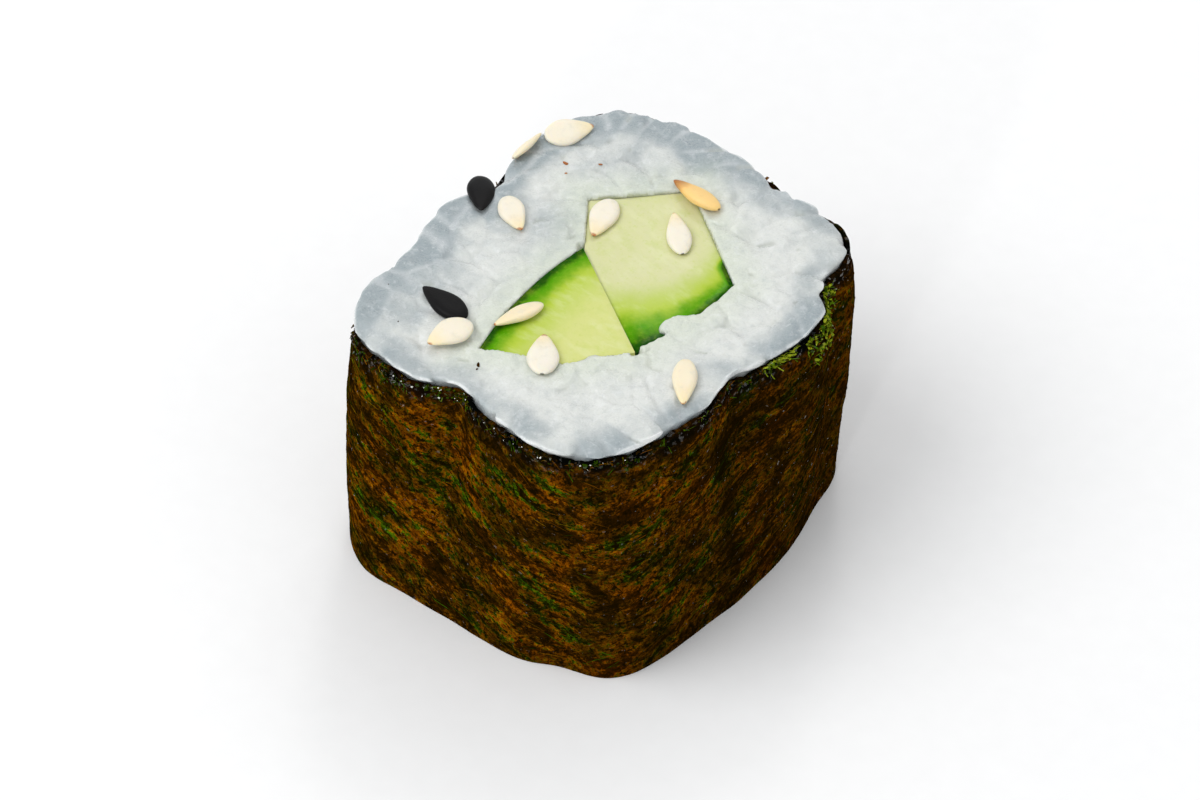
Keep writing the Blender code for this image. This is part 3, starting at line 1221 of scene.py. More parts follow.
    def press(self, bed: bpy.types.Object, each: int) -> None:
        """Press every grain flat at the knife's plane, with a rounded shoulder.

        Args:
            bed: The joined grains.
            each: How many vertices a grain has.
        """
        points = read_points(bed)
        for index, grain in enumerate(self.grains):
            rows = slice(index * each, (index + 1) * each)
            own = points[rows]
            middle = grain.place.translation
            cap = grain.cap + (own[:, 0] - middle.x) * grain.slope[0]
            cap = cap + (own[:, 1] - middle.y) * grain.slope[1]
            own[:, 2] = soft_min(own[:, 2], cap, 0.12 * MM)
        write_points(bed, points)

    def nearness(self, points: np.ndarray) -> tuple[np.ndarray, np.ndarray, np.ndarray, np.ndarray]:
        """Work out which grain each point belongs to.

        Args:
            points: Rows of positions.

        Returns:
            The distance in grain sizes to the nearest grain, the same to the next nearest, the
            blended tone, and the distance to the nearest grain that may creep.
        """
        first = np.full(len(points), 9.0)
        second = np.full(len(points), 9.0)
        creeper = np.full(len(points), 9.0)
        weight = np.full(len(points), 1e-9)
        tone = np.zeros(len(points))
        homes = np.column_stack([points, np.ones(len(points))])
        for grain in self.grains:
            local = homes @ np.array(grain.place.inverted()).T
            away = np.linalg.norm(local[:, :3], axis=1)
            second = np.minimum(second, np.maximum(first, away))
            first = np.minimum(first, away)
            share = np.exp(-14.0 * away)
            weight += share
            tone += share * grain.tone
            if grain.creeps:
                creeper = np.minimum(creeper, away)
        return first, second, tone / weight, creeper

    def pits(self, points: np.ndarray, seam: np.ndarray) -> np.ndarray:
        """Find the few small holes left open between grains."""
        return seam**2 * smooth_step(0.40, 0.55, noise_at(points * FLAT, 1.1 * MM, self.seed + 5))

    def settle(self, bed: bpy.types.Object) -> None:
        """Crease the fused bed, and fit it to the nori and the cucumber.

        Args:
            bed: The fused bed.
        """
        points = read_points(bed)
        first, second, _, creeper = self.nearness(points)
        self.crease(points, read_normals(bed), smooth_step(0.20, 0.0, second - first))
        self.sink(points, smooth_step(1.0, 0.80, creeper))
        self.hold_in(points)
        write_points(bed, points)

    def crease(self, points: np.ndarray, normals: np.ndarray, seam: np.ndarray) -> None:
        """Press the face flat where the knife smeared it, and crease it between the grains.

        Args:
            points: Rows of positions, which are changed.
            normals: The surface's direction at each.
            seam: How near each is to a crease.
        """
        flat = points * FLAT
        smear = smooth_step(-0.45, 0.30, noise_at(flat, 3.0 * MM, self.seed + 3))
        level = self.shape.height - 0.04 * MM + 0.06 * MM * noise_at(flat, 4.0 * MM, self.seed + 4)
        shallow = smooth_step(0.70 * MM, 0.20 * MM, level - points[:, 2])
        points[:, 2] += (level - points[:, 2]) * self.smeared * smear * shallow
        upward = np.clip(normals[:, 2], 0.0, 1.0)
        groove = 0.095 * (1.0 - 0.6 * smear) + 0.12 * self.pits(points, seam)
        points -= normals * (groove * MM * seam * upward)[:, None]
        lumps = sum(
            high * noise_at(points, size * MM, self.seed + 6 * index)
            for index, (size, high) in enumerate(self.lumps)
        )
        points += normals * (lumps * MM)[:, None]

    def sink(self, points: np.ndarray, over: np.ndarray) -> None:
        """Sink the rice over the cucumber and between the batons.

        Args:
            points: Rows of positions, which are changed.
            over: How much each belongs to a grain that laps over the cucumber.
        """
        depths = [baton.depth(points) for baton in BATONS]
        sunk = self.shape.height - 1.1 * MM
        buried = smooth_step(-0.03 * MM, 0.20 * MM, np.max(depths, axis=0))
        joint = smooth_step(-0.42 * MM, -0.32 * MM, np.min(depths, axis=0))
        buried = np.maximum(buried, joint) * (1.0 - over)
        above = points[:, 2] > sunk
        points[above, 2] += (sunk - points[above, 2]) * buried[above]

    def hold_in(self, points: np.ndarray) -> None:
        """Hold the rice inside the nori, and let it bulge over the rim.

        Args:
            points: Rows of positions, which are changed.
        """
        angles = directions(points)
        reach = distances(points)
        wall = self.wall(angles, points[:, 2])
        rim = self.shape.rim_height(angles) if self.face is CutFace.UPPER else self.shape.height
        lip = smooth_step(0.0, 0.40 * MM, points[:, 2] - rim)
        knobs = 0.16 * noise_at(points * (1.0, 1.0, 0.3), 1.3 * MM, self.seed + 8)
        limit = wall - 0.06 * MM + (0.38 + knobs) * MM * lip
        points[:, :2] *= (soft_min(reach, limit, 0.08 * MM) / reach)[:, None]

    def paint(self, bed: bpy.types.Object) -> None:
        """Store the patterns that the rice's colours follow.

        Args:
            bed: The fitted bed.
        """
        points = read_points(bed)
        first, second, tone, _ = self.nearness(points)
        inside = np.max([baton.depth(points) for baton in BATONS], axis=0)
        inset = self.wall(directions(points), points[:, 2]) - distances(points)
        seam = smooth_step(0.22, 0.0, second - first)
        store_values(bed, "tone", tone)
        store_values(bed, "seam", seam)
        # Where painted shade darkens the holes between grains.
        store_values(bed, "pit", self.pits(points, seam))
        store_values(bed, "rim", self.glassiness(points, inset))
        # Where a painted highlight runs: the lip that bulges over the nori and the steep edges over the
        # cucumber.
        steep = smooth_step(0.3, 0.8, 1.0 - np.abs(read_normals(bed)[:, 2]))
        high = points[:, 2] > self.shape.height - 0.45 * MM
        lapping = smooth_step(-0.1 * MM, 0.1 * MM, inside) * steep * high
        store_values(bed, "edge", np.maximum(smooth_step(-0.16 * MM, -0.30 * MM, inset), lapping))
        store_values(bed, "near", smooth_step(-3.2 * MM, 0.0, inside))

    def glassiness(self, points: np.ndarray, inset: np.ndarray) -> np.ndarray:
        """Work out how glassy the rice is: along the rim, in the lobe at -X, -Y, and towards -X.

        Args:
            points: Rows of positions.
            inset: How far inside the outline each lies.

        Returns:
            A number for each point, a little over 1 where the rice is glassiest.
        """
        lobe = np.hypot(points[:, 0] + 10.5 * MM, points[:, 1] + 9.5 * MM)
        patchy = np.clip(0.64 + 0.55 * noise_at(points * FLAT, 2.6 * MM, self.seed + 7), 0.0, 1.0)
        glassy = smooth_step(3.6 * MM, 0.2 * MM, inset) * patchy
        glassy = np.maximum(glassy, smooth_step(8.0 * MM, 3.0 * MM, lobe) * (0.36 + 0.33 * patchy))
        behind = 0.34 * points[:, 1] - 0.94 * points[:, 0]
        dull = 0.46 * smooth_step(-2.0 * MM, 6.5 * MM, behind)
        far_rim = smooth_step(0.0, 8.0 * MM, behind + 0.4 * points[:, 1])
        dull += 0.34 * smooth_step(3.0 * MM, 0.8 * MM, inset) * far_rim
        return np.minimum(glassy + dull, 1.25)

    def turn_over(self, bed: bpy.types.Object) -> None:
        """Turn the bed upside down, so that it becomes the lower cut face.

        Args:
            bed: The bed, built the right way up.
        """
        points = read_points(bed)
        points[:, 2] = self.shape.height - points[:, 2]
        points[:, 2] = np.maximum(points[:, 2], 0.0)
        write_points(bed, points)
        bed.data.flip_normals()


def cut_channels(body: bpy.types.Object, shape: RollShape) -> None:
    """Cut the cucumber's channels through a body of rice.

    Args:
        body: The rice.
        shape: The roll's measures.
    """
    for baton in BATONS:
        cutter = Baton(baton, shape).model_prism(-1.0 * MM, shape.height - baton.drop - 0.03 * MM)
        apply_modifier(body, "BOOLEAN", operation="DIFFERENCE", solver="MANIFOLD", object=cutter)
        discard(cutter)


@dataclass
class RiceCore:
    """The smaller body of rice that the two beds of grains lie on.

    Attributes:
        shape: The roll's measures.
        inset: How far it stays inside the outline.
        margin: How far it stays from each cut face.
        sides: How many sides it has.
        levels: How many rows of faces its side has.
    """

    shape: RollShape
    inset: float = 0.9 * MM
    margin: float = 2.4 * MM
    sides: int = 120
    levels: int = 10

    def build(self) -> bpy.types.Object:
        """Model the core.

        Returns:
            The finished object, without its material.
        """
        core = model_bar(self.sides, self.levels)
        core.name = "rice_core"
        points = read_points(core)
        z = self.margin + (points[:, 2] + 0.5) * (self.shape.height - 2.0 * self.margin)
        angles = directions(points)
        lumps = noise_at(around(np.ones_like(z), angles, z / (3 * MM)), 0.2, 5)
        radius = self.shape.radius(angles, z) - self.inset + 0.12 * MM * lumps
        write_points(core, around(radius, angles, z))
        cut_channels(core, self.shape)
        smooth_over(core, 40)
        for name in ("tone", "seam", "pit", "rim", "near", "edge"):
            store_level(core, name, 0.0)
        return core


# ---- Cucumber ----

@dataclass
class Baton:
    """One cucumber baton, cut across at both faces.

    Attributes:
        outline: Its outline.
        shape: The roll's measures.
        cell: The size of the faces on its cut ends.
        arc_steps: How many flats the rind is cut with.
        waviness: How uneven the knife left its upper end.
        ease: How far its cut edges are rubbed down.
    """

    outline: BatonShape
    shape: RollShape
    cell: float = 0.30 * MM
    arc_steps: int = 16
    waviness: float = 0.07 * MM
    ease: float = 0.07 * MM

    def trim(self, point: Vector, outward: Vector) -> None:
        """Cut away what lies beyond a line, in edit mode."""
        bpy.ops.mesh.select_all(action="SELECT")
        bpy.ops.mesh.bisect(plane_co=point, plane_no=outward, clear_outer=True, threshold=1e-7)

    def model_prism(self, low: float, high: float) -> bpy.types.Object:
        """Model the baton as a prism with finely divided ends.

        Args:
            low: The height of its lower end.
            high: The height of its upper end.

        Returns:
            The prism.
        """
        deselect_all()
        corners = [Vector((x * MM, y * MM, high)) for x, y in self.outline.corners]
        middle = sum(corners, Vector()) / len(corners)
        size = 2.2 * max((corner - middle).length for corner in corners)
        count = int(size / self.cell)
        bpy.ops.mesh.primitive_grid_add(
            x_subdivisions=count, y_subdivisions=count, size=size, location=middle
        )
        prism = bpy.context.object
        bpy.ops.object.transform_apply(location=True)
        bpy.ops.object.mode_set(mode="EDIT")
        for side in range(len(corners)):
            start, end = self.outline.side_points(side)
            if side != self.outline.rind_side:
                self.trim(start, self.outline.side_directions(side)[1])
                continue
            centre, radius = self.outline.rind_circle()
            first = math.atan2(start.y - centre.y, start.x - centre.x)
            sweep = math.remainder(math.atan2(end.y - centre.y, end.x - centre.x) - first, TURN)
            for step in range(self.arc_steps):
                angle = first + sweep * (step + 0.5) / self.arc_steps
                out = Vector((math.cos(angle), math.sin(angle), 0.0))
                self.trim(centre + radius * out, out)
        bpy.ops.mesh.select_all(action="SELECT")
        bpy.ops.mesh.extrude_region_move(TRANSFORM_OT_translate={"value": (0.0, 0.0, low - high)})
        bpy.ops.mesh.select_all(action="SELECT")
        bpy.ops.mesh.normals_make_consistent(inside=False)
        bpy.ops.object.mode_set(mode="OBJECT")
        return prism

    def build(self) -> bpy.types.Object:
        """Model the baton.

        Returns:
            The finished object, without its material.
        """
        top = self.shape.height - self.outline.drop
        baton = self.model_prism(0.0, top)
        baton.name = self.outline.node
        points = read_points(baton)
        upper = points[:, 2] > 0.5 * top
        wave = self.waviness * noise_at(points * FLAT, 3.5 * MM, 3)
        rub = self.ease * np.exp(-np.maximum(self.outline.depth(points), 0.0) / (0.12 * MM))
        points[upper, 2] += (wave - rub)[upper]
        points[~upper, 2] += rub[~upper]
        write_points(baton, points)
        smooth_over(baton, 40)
        return baton


# ---- Nori ----

@dataclass
class NoriSheet:
    """The sheet of nori: wound once round the rice, lapped over its start, and torn at the rim.

    Attributes:
        shape: The roll's measures.
        wall: The sheet's thickness.
        start: The direction, from +X, where the inner end lies.
        lap: How far round the outer end lies over it.
        ramp: How far round the sheet climbs before the lap.
        columns: How many faces there are round the sheet.
        rows: How many faces there are up it.
        crinkle: How far it stands in and out, from broad to fine, with the size of each.
        flow: How its fibres slant, in degrees, at directions round the roll, in degrees.
        shades: Where painted shade dulls its fibres: direction in degrees, width in radians, and how much.
        nicks: The rim's tears: the size and the depth of each kind.
    """

    shape: RollShape
    wall: float = 0.22 * MM
    start: float = math.radians(78)
    lap: float = math.radians(38)
    ramp: float = math.radians(14)
    columns: int = 560
    rows: int = 80
    crinkle: tuple[tuple[float, float], ...] = (
        (5.0 * MM, 0.16 * MM), (1.7 * MM, 0.075 * MM), (0.6 * MM, 0.035 * MM)
    )
    flow: tuple[tuple[float, float], ...] = ((-180, 28), (-95, -28), (0, 28), (90, -28), (180, 28))
    shades: tuple[tuple[float, float, float], ...] = ((10, 0.9, 0.42), (38, 0.33, 0.42))
    nicks: tuple[tuple[float, float], ...] = ((1.3 * MM, 0.30 * MM), (0.45 * MM, 0.22 * MM))

    def __post_init__(self) -> None:
        """Walk round the sheet at mid-height, for its turns and the length up to each."""
        self.turns = np.linspace(0.0, TURN + self.lap, 2000)
        radii = self.shape.radius(self.start + self.turns, 0.5 * self.shape.height) + self.lift(self.turns)
        x, y = radii * np.cos(self.turns), radii * np.sin(self.turns)
        self.lengths = np.concatenate([[0.0], np.cumsum(np.hypot(np.diff(x), np.diff(y)))])

    def lift(self, turns: np.ndarray) -> np.ndarray:
        """Give how far the sheet stands out to pass over its own start."""
        climbed = smooth_step(TURN - self.ramp, TURN - 0.15 * self.ramp, turns)
        return (self.wall + 0.10 * MM) * climbed

    def angle(self, along: np.ndarray) -> np.ndarray:
        """Give the direction round the roll of places along the sheet."""
        return self.start + np.interp(along, self.lengths, self.turns)

    def along_at(self, angle: float) -> float:
        """Give the place along the sheet's outer turn that faces a direction.

        Args:
            angle: The direction, from +X.

        Returns:
            How far along the sheet it is.
        """
        turn = (angle - self.start) % TURN
        turn += TURN if turn < self.lap else 0.0
        return float(np.interp(turn, self.turns, self.lengths))

    def slant(self, angle: np.ndarray) -> np.ndarray:
        """Give how the fibres slant, in degrees, in directions round the roll."""
        facing = np.degrees(np.angle(np.exp(1j * np.asarray(angle))))
        return np.interp(facing, *zip(*self.flow))

    def sunlit(self, angle: np.ndarray) -> np.ndarray:
        """Give the painted shade on the fibres in directions round the roll: duller towards +X.

        Args:
            angle: The directions.

        Returns:
            The brightness at each, as a share of the brightest.
        """
        light = np.ones_like(angle)
        for middle, width, loss in self.shades:
            away = np.angle(np.exp(1j * (angle - math.radians(middle))))
            light = light * (1.0 - loss * np.exp(-((away / width) ** 2)))
        return light

    def wind(self, along: np.ndarray, z: np.ndarray, proud: np.ndarray | float = 0.0) -> np.ndarray:
        """Wind flat places on the sheet round the roll.

        Args:
            along: How far along the sheet each place is.
            z: How high up it is.
            proud: How far it stands outside the sheet's inner face.

        Returns:
            Rows of positions.
        """
        laid = on_sheet(along, z)
        stand = sum(
            depth * noise_at(laid, size, 31 + index) for index, (size, depth) in enumerate(self.crinkle)
        )
        stand = np.maximum(stand * (0.35 + 0.65 * smooth_step(0.0, 1.5 * MM, z)), -0.05 * MM)
        turn = np.interp(along, self.lengths, self.turns)
        angle = self.start + turn
        radius = self.shape.radius(angle, z) + 0.05 * MM + self.lift(turn) + stand + proud
        return around(radius, angle, z)

    def rim(self, along: np.ndarray) -> np.ndarray:
        """Give the height of the torn rim.

        Args:
            along: How far along the sheet each place is.

        Returns:
            The height at each place.
        """
        line = on_sheet(along, np.zeros_like(along))
        height = self.shape.rim_height(self.angle(along))
        for index, (size, depth) in enumerate(self.nicks):
            height = height - np.maximum(noise_at(line, size, 21 + index), 0.0) * depth
        return height

    def build(self) -> bpy.types.Object:
        """Model the sheet.

        Returns:
            The finished object, without its material.
        """
        deselect_all()
        bpy.ops.mesh.primitive_grid_add(x_subdivisions=self.columns, y_subdivisions=self.rows, size=1.0)
        sheet = bpy.context.object
        sheet.name = "nori"
        flat = read_points(sheet)
        along = (flat[:, 0] + 0.5) * self.lengths[-1]
        rim = self.rim(along)
        z = 0.02 * MM + (flat[:, 1] + 0.5) * (rim - 0.02 * MM)
        write_points(sheet, self.wind(along, z))
        laid = on_sheet(along, z)
        angle = self.angle(along)
        store_values(sheet, "sheet", laid / MM)
        store_values(sheet, "lean", self.slant(angle) / 25.0 + 0.5 * noise_at(laid, 2.5 * MM, 42))
        # The damp band under the rim, where the colour darkens: partly wet nori, partly painted shadow
        # under the rice's lip.
        damp = smooth_step(1.5 * MM, 0.6 * MM, rim - z) * (0.8 + 0.7 * noise_at(laid, 1.4 * MM, 41))
        store_values(sheet, "sunlit", self.sunlit(angle))
        store_values(sheet, "moist", np.clip(damp, 0.0, 1.0))
        apply_modifier(sheet, "SOLIDIFY", thickness=self.wall, offset=1.0)
        smooth_over(sheet, 60)
        return sheet


FIBRE_CUT = (3, 4)  # A fibre's sides, and its rows of faces.


@dataclass
class NoriFibres:
    """Thin straight fibres that stand proud of the nori's outer face.

    Attributes:
        sheet: The sheet that they lie on.
        count: How many there are.
        seed: Where the random draws start.
        length: Their least and greatest length.
        width: Their least and greatest width.
        height: How far the lowest and the highest stand proud.
        spread: How far they stray from the sheet's own slant, in degrees.
    """

    sheet: NoriSheet
    count: int = 2800
    seed: int = 51
    length: tuple[float, float] = (0.6 * MM, 2.6 * MM)
    width: tuple[float, float] = (0.05 * MM, 0.13 * MM)
    height: tuple[float, float] = (0.010 * MM, 0.045 * MM)
    spread: float = 24.0

    def build(self) -> bpy.types.Object:
        """Model all the fibres, in one piece.

        Returns:
            The finished object, without its material.
        """
        draw = np.random.default_rng(self.seed)
        fibres = model_bar(*FIBRE_CUT)
        fibres.name = "nori_fibres"
        x, y, t = read_points(fibres).T
        repeat(fibres, self.count)
        each = (self.count, 1)
        start = draw.uniform(1.5 * MM, self.sheet.lengths[-1] - 1.5 * MM, each)
        angle = self.sheet.angle(start)
        top = self.sheet.shape.rim_height(angle)
        z = 0.5 * MM + draw.random(each) * (top - 1.1 * MM)
        size = self.length[0] + (self.length[1] - self.length[0]) * draw.random(each) ** 1.6
        aim = np.radians(self.sheet.slant(angle) + draw.normal(0.0, self.spread, each))
        bow = draw.normal(0.0, 0.035, each) * size
        taper = np.clip(1.0 - (2.0 * np.abs(t)) ** 3, 0.15, 1.0)
        width = draw.uniform(*self.width, each) * taper * x / 1.73
        run = size * t
        side = width + bow * 4.0 * t * t
        along = start + run * np.cos(aim) - side * np.sin(aim)
        height = np.clip(z + run * np.sin(aim) + side * np.cos(aim), 0.08 * MM, top - 0.15 * MM)
        along = np.clip(along, 0.2 * MM, self.sheet.lengths[-1] - 0.2 * MM)
        rise = draw.uniform(*self.height, each) * taper
        proud = self.sheet.wall + np.where(y > 0.0, rise, -0.03 * MM)
        write_points(fibres, self.sheet.wind(along.ravel(), height.ravel(), proud.ravel()))
        laid = on_sheet(start.ravel(), z.ravel())
        patch = noise_at(laid, 1.9 * MM, 61) + 0.5 * noise_at(laid, 0.8 * MM, 62)
        chance = draw.random(self.count)
        hue = np.where(patch > 0.20, 0.62 + 0.5 * chance, 0.05 + 0.60 * chance)
        gloom = smooth_step(-0.35, 0.30, noise_at(laid, 2.6 * MM, 63))
        lit = (0.05 + 0.85 * draw.random(self.count) ** 2.6) * (0.20 + 0.80 * gloom)
        # Painted shade, duller towards +X, as on the sheet.
        lit *= self.sheet.sunlit(angle.ravel())
        # Fibres near the rim are darkened: partly wet, partly painted shadow under the rice's lip.
        damp = smooth_step(0.5 * MM, 1.6 * MM, (top - z).ravel())
        colour_each(fibres, len(t), hue, lit * (0.15 + 0.85 * damp))
        smooth_over(fibres, 80)
        return fibres


@dataclass(frozen=True)
class TornSpot:
    """A stretch of the torn rim: its place and spread in degrees, its bits, its drop in millimetres."""

    angle: float
    spread: float
    flakes: int
    hairs: int
    drop: float
    fresh: float


# The hue that marks a flake as a painted glint.
GLINT_HUE = 2.6

TORN_SPOTS = (
    TornSpot(-93, 6, 90, 26, 1.0, 0.30),
    TornSpot(-122, 26, 80, 50, 1.1, 0.15),
    TornSpot(-62, 24, 90, 30, 0.7, 0.0),
    TornSpot(12, 5, 70, 24, 0.7, 1.0),
    TornSpot(33, 12, 260, 70, 2.6, 0.85),
    TornSpot(-15, 22, 34, 24, 0.9, 0.2),
    TornSpot(85, 25, 20, 0, 1.2, 0.3),
    TornSpot(140, 30, 24, 0, 1.2, 0.3),
    TornSpot(-170, 18, 16, 0, 1.0, 0.2),
)


@dataclass
class TornRim:
    """Flakes and hairs of nori left along the torn rim.

    Attributes:
        sheet: The sheet that they come from.
        seed: Where the random draws start.
        flake: A flake's least and greatest size.
        corners: How many corners a flake has.
        pale: The size of a pale flake, which is a painted glint, as a share of another's.
        pale_share: How many of the flakes at the front are pale painted glints.
        front: The directions that the front goes from and to, in degrees.
        hair: A hair's least and greatest length.
        above: How far bits may stand above the rim.
    """

    sheet: NoriSheet
    seed: int = 71
    flake: tuple[float, float] = (0.14 * MM, 0.48 * MM)
    corners: int = 7
    pale: float = 0.42
    pale_share: float = 0.14
    front: tuple[float, float] = (-135, -35)
    hair: tuple[float, float] = (0.3 * MM, 0.95 * MM)
    above: float = 0.12 * MM

    def spots(self, draw: np.random.Generator, kind: str) -> tuple[np.ndarray, ...]:
        """Draw the places of all the bits of one kind.

        Args:
            draw: The random source.
            kind: Which of a spot's counts to follow, flakes or hairs.

        Returns:
            Columns of places along the sheet, heights, hues and shades.
        """
        rows = []
        for spot in TORN_SPOTS:
            for _ in range(getattr(spot, kind)):
                angle = math.radians(spot.angle + spot.spread * draw.uniform(-1.0, 1.0))
                along = self.sheet.along_at(angle)
                fall = (0.12 + 0.88 * draw.random() ** 1.5) * spot.drop
                z = float(self.sheet.shape.rim_height(angle)) + (0.05 + 0.15 * spot.fresh - fall) * MM
                fresh = spot.fresh * draw.random() * (1.0 - 0.6 * fall / spot.drop)
                green = draw.random() < 0.35 + 0.6 * spot.fresh
                hue = 1.0 + 1.1 * fresh if green else 0.35 + 0.5 * draw.random()
                lit = 0.95 * draw.random() ** (2.2 - 1.4 * spot.fresh) * (0.30 + 0.70 * spot.fresh)
                at_front = self.front[0] < math.degrees(angle) < self.front[1]
                # Some flakes at the front become small pale painted glints.
                if kind == "flakes" and at_front and draw.random() < self.pale_share:
                    hue = GLINT_HUE
                rows.append((along, z, hue, 0.05 + lit))
        return tuple(np.array(rows).T[:, :, None])

    def build(self) -> bpy.types.Object:
        """Model all the bits, in one piece.

        Returns:
            The finished object, without its material.
        """
        bits = join_pieces("nori_torn_rim", [self.build_flakes(), self.build_hairs()])
        smooth_over(bits, 35)
        return bits

    def build_flakes(self) -> bpy.types.Object:
        """Model the flakes: small uneven plates, tipped every way.

        Returns:
            The flakes, joined.
        """
        draw = np.random.default_rng(self.seed)
        deselect_all()
        bpy.ops.mesh.primitive_cylinder_add(vertices=self.corners, radius=1.0, depth=1.0)
        flakes = bpy.context.object
        model = read_points(flakes)
        along, z, hue, lit = self.spots(draw, "flakes")
        count = len(along)
        repeat(flakes, count)
        corner = np.round(directions(model) / (TURN / self.corners)).astype(int) % self.corners
        ragged = draw.uniform(0.45, 1.15, (count, self.corners))[:, corner] * 0.5
        size = draw.uniform(*self.flake, (count, 1)) * np.where(hue < GLINT_HUE, 1.0, self.pale)
        x = model[:, 0] * ragged * size
        y = model[:, 1] * ragged * size * draw.uniform(0.35, 0.9, (count, 1))
        curl = 0.35 * ragged * ragged * size * draw.uniform(-1.0, 1.0, (count, 1))
        local = np.stack([x, y, model[:, 2] * 0.05 * MM + curl], axis=-1)
        turns = [
            Euler((draw.normal(0, 0.6), draw.normal(0, 0.6), draw.uniform(0, TURN))).to_matrix()
            for _ in range(count)
        ]
        local = np.einsum("cij,cvj->cvi", np.array(turns), local)
        reach = 0.14 + 0.14 * np.clip(hue - 1.0, 0.0, 1.0)
        proud = self.sheet.wall + draw.random((count, 1)) * reach * MM + local[:, :, 2]
        self.lay(flakes, (along + local[:, :, 0]).ravel(), (z + local[:, :, 1]).ravel(), proud.ravel())
        colour_each(flakes, len(model), hue, lit)
        return flakes

    def build_hairs(self) -> bpy.types.Object:
        """Model the hairs: thin bowed fibres that stick up or out of the rim.

        Returns:
            The hairs, joined.
        """
        draw = np.random.default_rng(self.seed + 1)
        hairs = model_bar(*FIBRE_CUT)
        x, y, t = read_points(hairs).T
        along, z, hue, lit = self.spots(draw, "hairs")
        each = (len(along), 1)
        repeat(hairs, len(along))
        share = t + 0.5
        aim = np.radians(draw.normal(25.0, 55.0, each))
        run = draw.uniform(*self.hair, each) * share
        side = 0.035 * MM * x + draw.normal(0.0, 0.07, each) * MM * share**2
        out = draw.uniform(-0.05, 0.22, each) * MM * share**2
        proud = self.sheet.wall + out + 0.02 * MM * y
        at = (along + run * np.cos(aim) - side * np.sin(aim)).ravel()
        height = (z - 0.3 * MM + run * np.sin(aim) + side * np.cos(aim)).ravel()
        self.lay(hairs, at, height, proud.ravel())
        colour_each(hairs, len(t), hue, 0.4 + 0.6 * lit)
        return hairs

    def lay(self, bits: bpy.types.Object, along: np.ndarray, height: np.ndarray, proud: np.ndarray) -> None:
        """Lay bits on the sheet, none of them far above its rim."""
        height = np.minimum(height, self.sheet.rim(along) + self.above)
        write_points(bits, self.sheet.wind(along, height, proud))


# ---- Sesame ----

@dataclass(frozen=True)
class SeedSpot:
    """Where one seed lies: places and sizes in millimetres, its tip's direction and roll in degrees."""

    kind: SeedKind
    x: float
    y: float
    tip: float
    length: float = 3.4
    roll: float = 0.0
    sink: float = 0.12
    plump: float = 1.0
    warm: float = 0.25


SEED_SPOTS = (
    SeedSpot(SeedKind.WHITE, -10.4, 8.6, 60, 3.3, 10, plump=1.1, warm=0.2),
    SeedSpot(SeedKind.WHITE, -11.4, 5.7, 94, 2.9, -45, plump=0.8, warm=0.5),
    SeedSpot(SeedKind.BLACK, -10.85, 0.75, -48, 3.8, 0, -0.05, 0.85),
    SeedSpot(SeedKind.WHITE, -7.95, 0.6, -28, 3.2, 8, plump=0.92, warm=0.15),
    SeedSpot(SeedKind.TOASTED, -0.4, 9.6, 176, 4.1, 24, plump=0.66, warm=0.2),
    SeedSpot(SeedKind.WHITE, -3.65, 4.3, -68, 3.6, 0, plump=0.9, warm=0.12),
    SeedSpot(SeedKind.WHITE, 0.85, 6.45, 140, 3.75, 0, plump=0.75, warm=0.1),
    SeedSpot(SeedKind.WHITE, -1.5, -5.95, -106, 3.6, 16, plump=0.72, warm=0.7),
    SeedSpot(SeedKind.BLACK, -5.65, -8.3, 176, 3.9, 0, plump=0.84),
    SeedSpot(SeedKind.WHITE, -3.45, -10.2, -101, 3.35, 0, -0.12, 1.15, 0.2),
    SeedSpot(SeedKind.WHITE, 2.0, -7.5, 130, 3.6, warm=0.05),
    SeedSpot(SeedKind.WHITE, 10.2, -3.5, -51, 4.0, 0, plump=0.7, warm=0.5),
)


